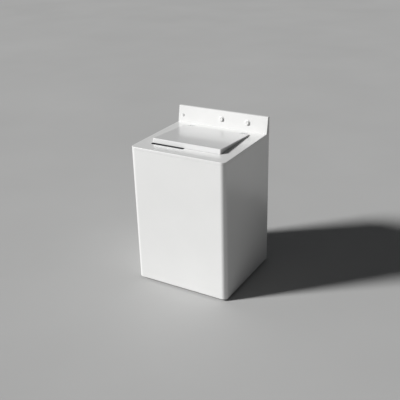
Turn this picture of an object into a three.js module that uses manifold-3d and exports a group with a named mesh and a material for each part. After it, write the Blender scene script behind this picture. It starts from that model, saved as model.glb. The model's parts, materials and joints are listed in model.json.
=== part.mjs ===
// Top load washing machine: pressed steel cabinet, hung tub, direct belt drive under the tub.
// Millimetres, +Z up, front towards -Y, origin at the middle of the footprint on the floor.
import * as THREE from 'three';
import { mergeVertices } from 'three/addons/utils/BufferGeometryUtils.js';
import Module from 'manifold-3d';

const wasm = await Module();
wasm.setup();

// ---- cabinet ----
const cabinetWidth = 686;
const cabinetDepth = 632;
const bodyHeight = 956;          // lower cabinet edge to the top of the deck
const footHeight = 14;
const cornerRadius = 34;         // the two front vertical corners
const rearRadius = 4;
const sheet = 1.5;
const seam = 0.5;                // shadow gap between deck skirt and cabinet
const clearance = 0.4;           // between pieces that fit into each other
const deckSkirt = 16;
const rearRecess = 24;           // field of the rear panel, in from the rear plane
const rearFlange = 22;
const rearRim = 26;              // width of the rails round the rear recess
const touch = 0.1;               // faces that rest on each other

// ---- deck, lid and console ----
const openingRadius = 90;
const openingSideMargin = 20;    // lid edge to the opening's edge
const openingEndMargin = 16;
const collarDepth = 20;
const lidSideMargin = 93;        // cabinet side to the lid's side
const lidRearMargin = 108;       // lid's rear edge to the cabinet's rear
const lidFrontHeight = 30;
const lidFrontLean = 7;
const lidWall = 2.5;
const lidGap = 1;                // lid edge above the deck
const lidFrontMargin = 122;      // front of the cabinet to the foot of the lid
const pocketDepth = 14;          // finger pocket in the deck, under the lid's front edge
const pocketFront = 22;          // how far it reaches in front of the lid
const pocketBack = 8;            // and how far under it
const pocketLength = 240;
const pocketInset = 2;           // from the lid's left side
const hingeBarrel = 3.2;
const hingePin = 1.6;
const hingeInset = 50;           // lid's side to the middle of a hinge
const hingeWidth = 40;
const consoleHeight = 112;
const consoleFoot = 40;
const consoleTop = 20;
const consoleWall = 2.5;
const knobRadius = 19;
const knobHeight = 58;
const cycleKnobInset = 148;      // from the right-hand end of the console
const levelKnobX = -2;
const buttonInset = 36;          // from the left-hand end
const buttonHeight = 47;
const buttonRadius = 7;
const shaftRadius = 3;
const buttonTravel = 3;

// ---- tub, basket and drive ----
const tubSideRoom = 67;
const tubEndRoom = 28;
const tubSetBack = 6;            // tub centre behind the middle of the space
const tubWall = 3;
const tubBottom = 300;
const tubHeadroom = 90;          // tub's rim to the deck
const basketRoom = 22;           // basket to tub, all round
const basketWall = 2;
const basketLift = 30;           // underside of the basket above the underside of the tub
const balanceWidth = 28;
const agitatorRadius = 150;
const agitatorLift = 8;
const agitatorNeck = 52;
const agitatorWall = 4;
const driveShaftRadius = 9;
const shaftRoom = 2;
const spinTubeWall = 5;
const plateDrop = 128;           // motor plate below the tub
const plateThickness = 4;
const pulleyDrop = 22;
const pulleyWidth = 14;
const drivePulleyRadius = 60;
const motorPulleyRadius = 16;
const motorX = -155;
const motorY = 48;
const motorRadius = 56;
const pumpX = 150;
const pumpY = -70;
const hoseRadius = 13;
const hoseWall = 2.5;
const fillHoseRadius = 11;
const facetRoom = 2;             // a faceted hose bore is narrower than its radius
const rodSideInset = 43;         // rod to the cabinet's side
const rodEndInset = 48;
const rodRadius = 3;
const rodLift = 20;              // rod's lower cup above the underside of the tub
const armLift = 150;
const armHeight = 22;
const springRadius = 14;
const springWire = 2.2;
const footInset = 62;
const footRadius = 19;
const studRadius = 5;

// ---- places that follow from them ----
const halfWidth = cabinetWidth / 2;
const frontY = -cabinetDepth / 2;
const rearY = cabinetDepth / 2;
const deckTop = footHeight + bodyHeight;
const totalHeight = deckTop + consoleHeight;
const wrapTop = deckTop - deckSkirt - seam;
const fieldY = rearY - rearRecess;
const lidFrontY = frontY + lidFrontMargin;
const lidWidth = cabinetWidth - 2 * lidSideMargin;
const lidDepth = cabinetDepth - lidFrontMargin - lidRearMargin;
const openingWidth = lidWidth - 2 * openingSideMargin;
const openingDepth = lidDepth - 2 * openingEndMargin;
const openingCentreY = lidFrontY + lidDepth / 2;
const hingeSpacing = lidWidth - 2 * hingeInset;
const cycleKnobX = halfWidth - cycleKnobInset;
const buttonX = buttonInset - halfWidth;
const halfSpace = (fieldY - frontY) / 2;
const tubCentreY = (fieldY + frontY) / 2 + tubSetBack;
const tubRadius = Math.min(halfWidth - tubSideRoom, halfSpace - tubEndRoom);
const tubTop = deckTop - tubHeadroom;
const basketRadius = tubRadius - basketRoom;
const basketBottom = tubBottom + basketLift;
const basketTop = tubTop - 42;
const balanceInner = basketRadius - balanceWidth;
const agitatorBottom = basketBottom + agitatorLift;
const agitatorTop = basketTop - 38;
const spinTubeInner = driveShaftRadius + shaftRoom;
const spinTubeOuter = spinTubeInner + spinTubeWall;
const rodOffsetX = halfWidth - rodSideInset;
const rodOffsetY = halfSpace - rodEndInset;
const rodBottom = tubBottom + rodLift;
const armBottom = tubBottom + armLift;
const plateBottom = tubBottom - plateDrop;
const pulleyBottom = plateBottom - pulleyDrop;
const pivotY = lidFrontY + lidDepth - hingeBarrel;
const pivotZ = deckTop + lidGap + hingeBarrel;
const lidBottom = deckTop + lidGap;
const leanAngle = Math.atan((consoleFoot - consoleTop) / consoleHeight);
const bracketTop = deckTop - 40;
const plateTop = plateBottom + plateThickness;
const spigotRadius = hoseRadius - hoseWall - facetRoom;
const nozzleRadius = fillHoseRadius - hoseWall - facetRoom;

// ---- materials ----
function paint(colour, roughness, metalness) {
  return new THREE.MeshStandardMaterial({ color: colour, roughness, metalness });
}
const whiteEnamel = paint(0xf2f2f0, 0.28, 0);
const whitePlastic = paint(0xefefed, 0.38, 0);
const greyPlastic = paint(0x8f9396, 0.5, 0);
const darkPlastic = paint(0x2c2e30, 0.55, 0);
const galvanised = paint(0xb4b8ba, 0.4, 0.9);
const stainless = paint(0xc8cacc, 0.25, 1);
const castAlloy = paint(0xa3a6a8, 0.5, 0.85);
const rubber = paint(0x1d1d1e, 0.85, 0);
const springSteel = paint(0x77797c, 0.35, 1);

// ---- geometry helpers ----
function toSolid(geometry) {
  const bare = geometry.clone();
  bare.deleteAttribute('normal');
  bare.deleteAttribute('uv');
  const merged = mergeVertices(bare, 1e-4);
  const corners = merged.index.array;
  const kept = [];
  for (let i = 0; i < corners.length; i += 3) {
    const [a, b, c] = [corners[i], corners[i + 1], corners[i + 2]];
    if (a !== b && b !== c && c !== a) kept.push(a, b, c);
  }
  const vertProperties = new Float32Array(merged.attributes.position.array);
  const build = (list) => new wasm.Manifold(
    new wasm.Mesh({ numProp: 3, vertProperties, triVerts: new Uint32Array(list) }));
  const solid = build(kept);
  if (solid.volume() > 0) return solid;
  const turned = [];
  for (let i = 0; i < kept.length; i += 3) turned.push(kept[i], kept[i + 2], kept[i + 1]);
  return build(turned);
}

function toGeometry(solid) {
  const mesh = solid.getMesh();
  const geometry = new THREE.BufferGeometry();
  const points = new Float32Array(mesh.numVert * 3);
  for (let i = 0; i < mesh.numVert; i += 1) {
    for (let k = 0; k < 3; k += 1) points[i * 3 + k] = mesh.vertProperties[i * mesh.numProp + k];
  }
  geometry.setAttribute('position', new THREE.BufferAttribute(points, 3));
  geometry.setIndex(new THREE.BufferAttribute(new Uint32Array(mesh.triVerts), 1));
  return geometry;
}

function join(first, ...others) {
  return toGeometry(others.reduce((sum, item) => sum.add(toSolid(item)), toSolid(first)));
}

function cut(first, ...others) {
  return toGeometry(others.reduce((rest, item) => rest.subtract(toSolid(item)), toSolid(first)));
}

function overlapOf(first, second) {
  return toGeometry(toSolid(first).intersect(toSolid(second)));
}

function block(x0, x1, y0, y1, z0, z1) {
  const geometry = new THREE.BoxGeometry(x1 - x0, y1 - y0, z1 - z0);
  return geometry.translate((x0 + x1) / 2, (y0 + y1) / 2, (z0 + z1) / 2);
}

function disc(radius, z0, z1, x = 0, y = 0, sides = 24) {
  const geometry = new THREE.CylinderGeometry(radius, radius, z1 - z0, sides);
  return geometry.rotateX(Math.PI / 2).translate(x, y, (z0 + z1) / 2);
}

// A rod between two points.
function bar(radius, from, to, sides = 16) {
  const start = new THREE.Vector3(...from);
  const along = new THREE.Vector3(...to).sub(start);
  const geometry = new THREE.CylinderGeometry(radius, radius, along.length(), sides);
  const turn = new THREE.Quaternion().setFromUnitVectors(
    new THREE.Vector3(0, 1, 0), along.clone().normalize());
  const middle = start.addScaledVector(along, 0.5);
  return geometry.applyQuaternion(turn).translate(middle.x, middle.y, middle.z);
}

// Closed [radius, z] outline turned about the Z axis.
function turned(outline, sides = 32) {
  const points = [...outline, outline[0]].map(([r, z]) => new THREE.Vector2(r, z));
  return new THREE.LatheGeometry(points, sides).rotateX(Math.PI / 2);
}

// A full circle or quarter turn gets twice curveSegments straight steps.
function slab(shape, z0, z1, curveSegments = 3) {
  const settings = { depth: z1 - z0, bevelEnabled: false, curveSegments };
  return new THREE.ExtrudeGeometry(shape, settings).translate(0, 0, z0);
}

// Outline in the Y-Z plane, given as [y, z] points, carried along X.
function sideProfile(outline, x0, x1) {
  const shape = new THREE.Shape(outline.map(([y, z]) => new THREE.Vector2(y, z)));
  const geometry = new THREE.ExtrudeGeometry(shape, { depth: x1 - x0, bevelEnabled: false });
  const axes = new THREE.Matrix4().makeBasis(
    new THREE.Vector3(0, 1, 0), new THREE.Vector3(0, 0, 1), new THREE.Vector3(1, 0, 0));
  return geometry.applyMatrix4(axes).translate(x0, 0, 0);
}

function roundedRectangle(x0, x1, y0, y1, frontRadius, backRadius) {
  const shape = new THREE.Shape();
  shape.moveTo(x0 + frontRadius, y0);
  shape.lineTo(x1 - frontRadius, y0);
  shape.absarc(x1 - frontRadius, y0 + frontRadius, frontRadius, -Math.PI / 2, 0);
  shape.lineTo(x1, y1 - backRadius);
  shape.absarc(x1 - backRadius, y1 - backRadius, backRadius, 0, Math.PI / 2);
  shape.lineTo(x0 + backRadius, y1);
  shape.absarc(x0 + backRadius, y1 - backRadius, backRadius, Math.PI / 2, Math.PI);
  shape.lineTo(x0, y0 + frontRadius);
  shape.absarc(x0 + frontRadius, y0 + frontRadius, frontRadius, Math.PI, Math.PI * 1.5);
  return shape;
}

// The cabinet's plan outline, drawn in by the given amount.
function cabinetOutline(inset) {
  return roundedRectangle(
    -halfWidth + inset, halfWidth - inset, frontY + inset, rearY - inset,
    Math.max(cornerRadius - inset, 1), Math.max(rearRadius - inset, 0.5));
}

function outlineRing(outerInset, innerInset, z0, z1) {
  return cut(slab(cabinetOutline(outerInset), z0, z1),
    slab(cabinetOutline(innerInset), z0 - 1, z1 + 1));
}

function openingOutline(inset) {
  const x = openingWidth / 2 - inset;
  const y = openingDepth / 2 - inset;
  const radius = openingRadius - inset;
  return roundedRectangle(-x, x, openingCentreY - y, openingCentreY + y, radius, radius);
}

function tube(points, radius, sides = 10, steps = 16) {
  const path = new THREE.CatmullRomCurve3(points.map((p) => new THREE.Vector3(...p)));
  const section = new THREE.Shape();
  section.absarc(0, 0, radius, 0, Math.PI * 2);
  const settings = { steps, bevelEnabled: false, extrudePath: path, curveSegments: sides / 2 };
  return new THREE.ExtrudeGeometry(section, settings);
}

function hose(points, outer, inner) {
  return cut(tube(points, outer), tube(points, inner));
}

const washer = new THREE.Group();

function piece(name, geometry, material, parent = washer) {
  const mesh = new THREE.Mesh(toGeometry(toSolid(geometry)), material);
  mesh.name = name;
  parent.add(mesh);
  return mesh;
}

const sides = [['left', -1], ['right', 1]];
const corners = [['front_left', -1, -1], ['front_right', 1, -1], ['rear_left', -1, 1], ['rear_right',
  1, 1]];

// ---- cabinet ----
function cabinetWrap() {
  const walls = cut(outlineRing(0, sheet, footHeight, wrapTop),
    block(-halfWidth + rearFlange, halfWidth - rearFlange, rearY - 5, rearY + 5, footHeight - 1,
      wrapTop + 1));
  const lipOuter = sheet + clearance;
  const lipBottom = wrapTop - deckSkirt;
  const rearCut = block(-halfWidth + rearFlange, halfWidth - rearFlange,
    rearY - 10, rearY + 5, lipBottom - 2, deckTop);
  const lip = cut(outlineRing(lipOuter, lipOuter + sheet, lipBottom, deckTop - sheet - 2), rearCut);
  const weld = cut(outlineRing(sheet / 2, lipOuter + sheet / 2, lipBottom, wrapTop - 1), rearCut);
  const brackets = corners.map(([, sx, sy]) => rodBracket(sx, sy));
  return join(walls, weld, lip, ...brackets);
}

// Corner plate that a suspension rod hangs from.
function rodBracket(sx, sy) {
  const reach = 84;
  const rodX = sx * rodOffsetX;
  const rodY = tubCentreY + sy * rodOffsetY;
  const x = sx * halfWidth;
  const y = sy < 0 ? frontY : fieldY - sheet - 1;
  const corner = new THREE.Shape([
    new THREE.Vector2(x, y),
    new THREE.Vector2(x - sx * reach, y),
    new THREE.Vector2(x - sx * reach, y - sy * 20),
    new THREE.Vector2(x - sx * 30, y - sy * (reach + 24)),
    new THREE.Vector2(x, y - sy * (reach + 24)),
  ]);
  const plate = slab(corner, bracketTop - 3, bracketTop);
  const inside = slab(cabinetOutline(sheet / 2), bracketTop - 5, bracketTop + 5);
  return cut(overlapOf(plate, inside), disc(rodRadius + 1.5, bracketTop - 5, bracketTop + 5, rodX, rodY));
}

// The rear recess: a frame round three sides, a flat sheet, and a bent valve plate across the top.
const rimY = rearY - sheet - clearance;
const rimOuterX = halfWidth - rearRadius - clearance;
const rimInnerX = rimOuterX - rearRim;
const rimBottom = footHeight + 36;
const rimTop = wrapTop - deckSkirt - 4;
const recessBottom = rimBottom + rearRim;
const recessTop = rimTop - rearRim;
const tongueTop = deckTop - sheet - clearance;

function rearFrame() {
  const tongueEnd = halfWidth - rearFlange - 2;
  const rails = sides.flatMap(([, s]) => {
    const wide = (x0, x1) => (s < 0 ? [-x1, -x0] : [x0, x1]);
    return [
      block(...wide(rimInnerX, rimOuterX), rimY - sheet, rimY, rimBottom, rimTop),
      block(...wide(rimInnerX, tongueEnd), rimY - sheet, rimY, rimTop - 5, tongueTop),
      block(...wide(rimInnerX, rimInnerX + sheet), fieldY - sheet, rimY, rimBottom, rimTop),
    ];
  });
  return join(block(-rimOuterX, rimOuterX, rimY - sheet, rimY, rimBottom, recessBottom),
    block(-rimInnerX - sheet, rimInnerX + sheet, fieldY - sheet, rimY, recessBottom - sheet, recessBottom),
    ...rails);
}

function portHoles(sheetPiece) {
  const holes = [...portPlaces.map(([x, z]) => [x, z, portRadius]), [drainX, drainZ, drainRadius],
    [glandX, glandZ, glandRadius]];
  return cut(sheetPiece,
    ...holes.map(([x, z, r]) => bar(r + clearance, [x, fieldY - 9, z], [x, fieldY + 9, z], 20)));
}

function rearPanel() {
  const x = rimInnerX - touch;
  return portHoles(block(-x, x, fieldY - sheet, fieldY, recessBottom + touch, portZ - touch));
}

function valvePlate() {
  const x = rimInnerX - touch;
  return portHoles(join(block(-x, x, fieldY - sheet, fieldY, portZ + touch, recessTop + sheet),
    block(-x, x, fieldY - sheet, rimY, recessTop, recessTop + sheet),
    block(-x, x, rimY - sheet, rimY, recessTop, tongueTop)));
}

function baseFrame() {
  const outer = sheet + clearance;
  const bottom = footHeight + 2;
  const wall = outlineRing(outer, outer + 3, bottom, bottom + 30);
  const shelf = outlineRing(outer, outer + 46, bottom, bottom + 3);
  const pads = corners.map(([, sx, sy]) => {
    const x = sx * (halfWidth - footInset);
    const y = sy * (cabinetDepth / 2 - footInset);
    return join(block(x - 34, x + 34, y - 34, y + 34, bottom, bottom + 3), disc(9.5, bottom,
      bottom + 13, x, y, 6));
  });
  const inside = slab(cabinetOutline(outer), bottom - 1, bottom + 40);
  const holes = corners.map(([, sx, sy]) => disc(studRadius + clearance, bottom - 5, bottom + 30,
    sx * (halfWidth - footInset), sy * (cabinetDepth / 2 - footInset), 16));
  return cut(overlapOf(join(wall, shelf, ...pads), inside), ...holes);
}

function levelingFoot() {
  return turned([[0, 0], [footRadius - 2, 0], [footRadius, 3], [footRadius, 7], [studRadius + 4, 11],
    [studRadius + 4, 13], [studRadius, 13], [studRadius, 54], [0, 54]], 16);
}

// ---- deck and lid ----
function topDeck() {
  const plate = slab(cabinetOutline(0), deckTop - sheet, deckTop);
  const skirt = outlineRing(0, sheet, deckTop - deckSkirt, deckTop - sheet / 2);
  const collar = cut(slab(openingOutline(-sheet), deckTop - collarDepth, deckTop - sheet / 2),
    slab(openingOutline(0), deckTop - collarDepth - 1, deckTop + 1));
  const opening = slab(openingOutline(0), deckTop - 5, deckTop + 5);
  const pocket = block(...pocketPlan(sheet), deckTop - pocketDepth - sheet, deckTop - sheet / 2);
  const well = block(...pocketPlan(0), deckTop - pocketDepth, deckTop + 5);
  return cut(join(cut(join(plate, skirt), opening), collar, pocket), well);
}

function pocketPlan(grow) {
  const left = pocketInset - lidWidth / 2;
  return [left - grow, left + pocketLength + grow,
    lidFrontY - pocketFront - grow, lidFrontY + pocketBack + grow];
}

// Side view of the lid: low at the hinge, high at the front, with a front face that leans back.
function lidSection(inset, bottomZ) {
  const steps = 6;
  const outline = [
    [lidFrontY + inset, bottomZ],
    [lidFrontY + lidFrontLean + inset, deckTop + lidFrontHeight - inset],
    [pivotY, pivotZ + hingeBarrel - inset],
  ];
  for (let i = 1; i <= steps; i += 1) {
    const angle = Math.PI / 2 - (Math.PI * i) / steps;
    const radius = hingeBarrel - inset;
    outline.push([pivotY + radius * Math.cos(angle), pivotZ + radius * Math.sin(angle)]);
  }
  return outline;
}

function lidShell() {
  const half = lidWidth / 2;
  const outer = sideProfile(lidSection(0, lidBottom), -half, half);
  const rearWeb = pivotY - hingeBarrel - 4;
  const slope = (lidFrontHeight - lidGap - 2 * hingeBarrel) / (lidDepth - lidFrontLean - hingeBarrel);
  const topAt = (y) => pivotZ + hingeBarrel + (pivotY - y) * slope - lidWall;
  const hollow = sideProfile([
    [lidFrontY + lidWall, lidBottom - 5],
    [lidFrontY + lidWall, lidBottom],
    [lidFrontY + lidFrontLean + lidWall, topAt(lidFrontY + lidFrontLean + lidWall)],
    [rearWeb, topAt(rearWeb)],
    [rearWeb, lidBottom - 5],
  ], -half + lidWall, half - lidWall);
  const notches = sides.flatMap(([, s]) => {
    const x = (s * hingeSpacing) / 2;
    const reach = hingeWidth / 2;
    return [
      block(x - reach - 2, x + reach + 2, pivotY - hingeBarrel - 2, pivotY + 20, deckTop - 5, deckTop + 40),
      bar(hingePin + clearance, [x - reach - 14, pivotY, pivotZ], [x + reach + 14, pivotY, pivotZ], 10),
    ];
  });
  return cut(outer, hollow, ...notches);
}

function lidLiner() {
  const gap = lidWall + clearance;
  const half = lidWidth / 2 - gap;
  const front = lidFrontY + gap + 1;
  const rear = pivotY - hingeBarrel - 4 - clearance;
  const plate = block(-half, half, front, rear, lidBottom + 1, lidBottom + 2.5);
  const dish = cut(slab(openingOutline(12), deckTop - 8, lidBottom + 2.5),
    slab(openingOutline(12 + lidWall), deckTop - 8 + lidWall, lidBottom + 5));
  const field = slab(openingOutline(12 + lidWall), lidBottom - 5, lidBottom + 5);
  return join(cut(plate, field), dish);
}

function hingeBracket(side) {
  const x = (side * hingeSpacing) / 2;
  const half = hingeWidth / 2;
  const barrel = bar(hingeBarrel - 0.2, [x - half, pivotY, pivotZ], [x + half, pivotY, pivotZ], 16);
  const leaf = block(x - half, x + half, pivotY + 1, pivotY + 30, deckTop, deckTop + 2);
  const bore = bar(hingePin + clearance, [x - half - 5, pivotY, pivotZ], [x + half + 5, pivotY,
    pivotZ], 10);
  const web = block(x - half, x + half, pivotY, pivotY + 3.2, deckTop, pivotZ);
  return cut(join(barrel, leaf, web), bore);
}

function hingePinAt(side) {
  const x = (side * hingeSpacing) / 2;
  const reach = hingeWidth / 2 + 13;
  return bar(hingePin, [x - reach, pivotY, pivotZ], [x + reach, pivotY, pivotZ], 10);
}

function lidBumper() {
  const x = lidWidth / 2 - 10;
  return block(x - 5, x + 5, openingCentreY - 60, openingCentreY + 60, deckTop, lidBottom + 0.6);
}

function lidSwitch() {
  const x = openingWidth / 2 + 34;
  const z = deckTop - sheet;
  return join(block(x - 10, x + 10, -30, 20, z - 30, z), block(x - 4, x + 4, 0, 14, z - 38, z - 29));
}

// ---- console ----
function consoleSection(inset) {
  const foot = rearY - consoleFoot + inset;
  const top = rearY - consoleTop + inset;
  return [[foot, deckTop - (inset ? 5 : 0)], [foot, deckTop], [top, totalHeight - inset],
    [rearY + (inset ? 5 : 0), totalHeight - inset], [rearY + (inset ? 5 : 0), deckTop - (inset ? 5 : 0)]];
}

function faceY(height) {
  return rearY - consoleFoot + height * Math.tan(leanAngle);
}

// A hole square to the leaning face, at the given place.
function faceHole(x, height, radius) {
  const out = [0, -Math.cos(leanAngle), Math.sin(leanAngle)];
  const at = [x, faceY(height), deckTop + height];
  return bar(radius, at.map((v, i) => v - out[i] * 12), at.map((v, i) => v + out[i] * 12), 24);
}

function consoleShell() {
  const outline = consoleSection(0).filter(([, z], i) => i !== 0 || z !== deckTop);
  const outer = sideProfile(outline, -halfWidth, halfWidth);
  const hollow = sideProfile(consoleSection(consoleWall), -halfWidth + consoleWall,
    halfWidth - consoleWall);
  return cut(outer, hollow,
    faceHole(cycleKnobX, knobHeight, shaftRadius + 1),
    faceHole(levelKnobX, knobHeight, shaftRadius + 1),
    faceHole(buttonX, buttonHeight, buttonRadius + clearance));
}

function consoleBack() {
  const x = halfWidth - consoleWall - clearance;
  const plate = block(-x, x, rearY - consoleWall, rearY, deckTop, totalHeight - consoleWall - clearance);
  const vents = [-2, -1, 0, 1, 2].map((i) => block(i * 60 - 22, i * 60 + 22, rearY - 9, rearY + 9,
    deckTop + 70, deckTop + 75));
  return cut(plate, ...vents);
}

// A group whose +Z points square out of the console's face.
function faceGroup(x, height) {
  const group = new THREE.Group();
  group.position.set(x, faceY(height), deckTop + height);
  group.rotation.x = Math.PI / 2 - leanAngle;
  washer.add(group);
  return group;
}

function knob() {
  const skirt = 3.5;
  const body = turned([[0, 0.8], [knobRadius, 0.8], [knobRadius, skirt], [knobRadius - 4, skirt + 1],
    [knobRadius - 5.5, 12], [knobRadius - 7, 13], [0, 13]], 28);
  return cut(body, disc(shaftRadius + clearance, 0, 9, 0, 0, 16));
}

function selector(radius, depth) {
  const back = -consoleWall - 1;
  return cut(join(disc(radius, back - depth, back, 0, 0, 20), block(-radius - 4, radius + 4, -6, 6,
    back - 4, back)),
    disc(shaftRadius + clearance, back - 8, back + 1, 0, 0, 16));
}

function selectorShaft() {
  return disc(shaftRadius, -consoleWall - 7, 8, 0, 0, 16);
}

function startButton() {
  return join(disc(buttonRadius, -5, 5, 0, 0, 24), disc(buttonRadius + 2, -7, -4.5, 0, 0, 24),
    disc(2.5, -9, -6, 0, 0, 12));
}

function startSwitch() {
  const top = -9 - buttonTravel - clearance;
  return block(-11, 11, -9, 9, top - 9, top);
}

// ---- tub and basket ----
const sumpX = 165;
const sumpY = 70;

function outerTub() {
  const hub = 46;
  const inner = tubRadius - tubWall;
  const shell = turned([[34, tubBottom - 8], [hub, tubBottom - 8], [hub, tubBottom], [tubRadius - 14,
    tubBottom],
    [tubRadius, tubBottom + 14], [tubRadius, tubTop], [inner, tubTop], [inner, tubBottom + 16],
    [inner - 11, tubBottom + 5], [34, tubBottom + 5]], 40).translate(0, tubCentreY, 0);
  const reach = Math.hypot(rodOffsetX, rodOffsetY);
  const keepOut = disc(tubRadius - tubWall / 2, armBottom - 30, armBottom + armHeight + 30, 0,
    tubCentreY, 40);
  const arms = corners.map(([, sx, sy]) => {
    const arm = join(block(tubRadius - 30, reach, -15, 15, armBottom, armBottom + armHeight),
      disc(19, armBottom, armBottom + armHeight, reach, 0, 16));
    return arm.rotateZ(Math.atan2(sy * rodOffsetY, sx * rodOffsetX)).translate(0, tubCentreY, 0);
  });
  const holes = corners.map(([, sx, sy]) => disc(rodRadius + 1.5, armBottom - 5, armBottom + armHeight + 5,
    sx * rodOffsetX, tubCentreY + sy * rodOffsetY, 16));
  const armSet = cut(join(...arms), keepOut);
  const spigot = disc(spigotRadius, tubBottom - 22, tubBottom + 2, sumpX, sumpY, 16);
  const sump = disc(spigotRadius - 3, tubBottom - 30, tubBottom + 9, sumpX, sumpY, 16);
  return cut(join(shell, armSet, spigot), sump, ...holes);
}

function tubRing() {
  const inner = balanceInner + 10;
  return turned([[inner, tubTop + 0.3], [tubRadius + 1, tubTop + 0.3], [tubRadius + 1, tubTop - 18],
    [tubRadius + 4, tubTop - 18], [tubRadius + 4, tubTop + 6], [inner + 10, tubTop + 18], [inner,
      tubTop + 18]],
  40).translate(0, tubCentreY, 0);
}

function basketShell() {
  const inner = basketRadius - basketWall;
  return turned([[24, basketBottom], [basketRadius - 10, basketBottom], [basketRadius, basketBottom + 10],
    [basketRadius, basketTop], [inner, basketTop], [inner, basketBottom + 11], [inner - 9,
      basketBottom + basketWall],
    [24, basketBottom + basketWall]], 40).translate(0, tubCentreY, 0);
}

function balanceRing() {
  const bottom = basketTop + 0.3;
  return turned([[balanceInner, bottom], [basketRadius + 2, bottom], [basketRadius + 2, bottom + 24],
    [basketRadius - 4, bottom + 28], [balanceInner + 5, bottom + 28], [balanceInner, bottom + 22]],
  40).translate(0, tubCentreY, 0);
}

function basketHub() {
  const top = basketBottom - 0.3;
  return turned([[spinTubeOuter + clearance, tubBottom + 10], [30, tubBottom + 10], [34, top - 8], [80,
    top - 5],
    [80, top], [spinTubeOuter + clearance, top]], 32).translate(0, tubCentreY, 0);
}

function agitator() {
  const wall = agitatorWall;
  const bottom = agitatorBottom;
  const shell = turned([[agitatorRadius, bottom], [agitatorRadius - 8, bottom + 14], [98, bottom + 32],
    [70, bottom + 82], [60, bottom + 260], [agitatorNeck, agitatorTop], [agitatorNeck - wall, agitatorTop],
    [60 - wall, bottom + 260], [68 - wall, bottom + 94], [driveShaftRadius + clearance, bottom + 94],
    [driveShaftRadius + clearance, bottom + 66], [68 - wall, bottom + 66], [92 - wall, bottom + 30],
    [agitatorRadius - 12, bottom + 10], [agitatorRadius - 7, bottom]], 36);
  const fin = sideProfile([[55, bottom + 26], [agitatorRadius - 12, bottom + 8], [agitatorRadius - 8,
    bottom + 30],
    [100, bottom + 62], [76, bottom + 150], [61, bottom + 150]], -4, 4);
  const hollow = turned([[0, bottom - 5], [agitatorRadius - 16, bottom - 5], [agitatorRadius - 16,
    bottom + 10],
    [92 - wall, bottom + 30], [66, bottom + 66], [62, bottom + 160], [0, bottom + 160]], 36);
  const fins = [0, 1, 2, 3].map((i) => cut(fin, hollow).rotateZ((i * Math.PI) / 2));
  return join(shell, ...fins).translate(0, tubCentreY, 0);
}

function agitatorCap() {
  const base = agitatorTop + 0.3;
  return turned([[0, base], [agitatorNeck, base], [agitatorNeck, base + 6], [agitatorNeck - 6, base + 16],
    [agitatorNeck - 20, base + 22], [0, base + 24]], 28).translate(0, tubCentreY, 0);
}

// ---- drive ----
const gearcaseRadius = 60;
const gearcaseTop = tubBottom - 9;

function gearcase() {
  const wall = 5;
  const bottom = plateTop;
  return turned([[10, bottom], [gearcaseRadius - 12, bottom], [gearcaseRadius, bottom + 14],
    [gearcaseRadius, gearcaseTop - 40], [30, gearcaseTop - 12], [30, gearcaseTop], [spinTubeOuter + 1,
      gearcaseTop],
    [spinTubeOuter + 1, gearcaseTop - 20], [gearcaseRadius - wall, gearcaseTop - 46],
    [gearcaseRadius - wall, bottom + 18], [gearcaseRadius - 16, bottom + wall], [10, bottom + wall]], 28)
    .translate(0, tubCentreY, 0);
}

function spinTube() {
  return turned([[spinTubeInner, gearcaseTop - 26], [spinTubeOuter, gearcaseTop - 26],
    [spinTubeOuter, basketBottom + 4], [spinTubeInner, basketBottom + 4]], 24).translate(0, tubCentreY, 0);
}

function driveShaft() {
  return disc(driveShaftRadius, plateTop + 30, agitatorBottom + 92, 0, tubCentreY, 24);
}

function tubBearing() {
  return turned([[spinTubeOuter + clearance, tubBottom - 6], [33.5, tubBottom - 6], [33.5, tubBottom],
    [spinTubeOuter + clearance, tubBottom]], 28).translate(0, tubCentreY, 0);
}

function tubSeal() {
  return turned([[spinTubeOuter + clearance, tubBottom + 1], [33.5, tubBottom + 1], [33.5, tubBottom + 5],
    [24, tubBottom + 8], [spinTubeOuter + clearance, tubBottom + 8]], 28).translate(0, tubCentreY, 0);
}

function pulley(radius, shaft, shaftTop, x, y) {
  const top = pulleyBottom + pulleyWidth;
  return turned([[0, pulleyBottom], [radius + 5, pulleyBottom], [radius + 5, pulleyBottom + 2],
    [radius, pulleyBottom + 4], [radius, top - 4], [radius + 5, top - 2], [radius + 5, top], [shaft, top],
    [shaft, shaftTop], [0, shaftTop]], radius > 30 ? 36 : 20).translate(x, y, 0);
}

// Belt run round both pulleys, an outline of two arcs and their common tangents.
function beltOutline(offset) {
  const apart = new THREE.Vector2(motorX, motorY - tubCentreY);
  const heading = apart.angle();
  const spread = Math.acos((drivePulleyRadius - motorPulleyRadius) / apart.length());
  const shape = new THREE.Shape();
  shape.absarc(0, tubCentreY, drivePulleyRadius + offset, heading + spread, heading - spread + Math.PI * 2);
  shape.absarc(motorX, motorY, motorPulleyRadius + offset, heading - spread, heading + spread);
  return shape;
}

function driveBelt() {
  const z0 = pulleyBottom + 4.5;
  const z1 = pulleyBottom + pulleyWidth - 4.5;
  return cut(slab(beltOutline(4.5), z0, z1, 10), slab(beltOutline(0.8), z0 - 1, z1 + 1, 10));
}

function motorPlate() {
  const outline = new THREE.Shape();
  outline.moveTo(motorX - 70, motorY - 70);
  outline.lineTo(-40, -110);
  outline.lineTo(pumpX + 50, pumpY - 50);
  outline.lineTo(pumpX + 60, pumpY + 50);
  outline.lineTo(60, 90);
  outline.lineTo(motorX - 40, motorY + 76);
  outline.closePath();
  const plate = cut(slab(outline, plateBottom, plateTop),
    disc(9, plateBottom - 5, plateTop + 5, 0, tubCentreY, 16),
    disc(9, plateBottom - 5, plateTop + 5, motorX, motorY, 16));
  const posts = [[-60, -104], [64, 78], [88, -92]].map(([x, y]) =>
    disc(8, plateTop - 1, tubBottom - 0.2, x, y, 12));
  return join(plate, ...posts);
}

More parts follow.
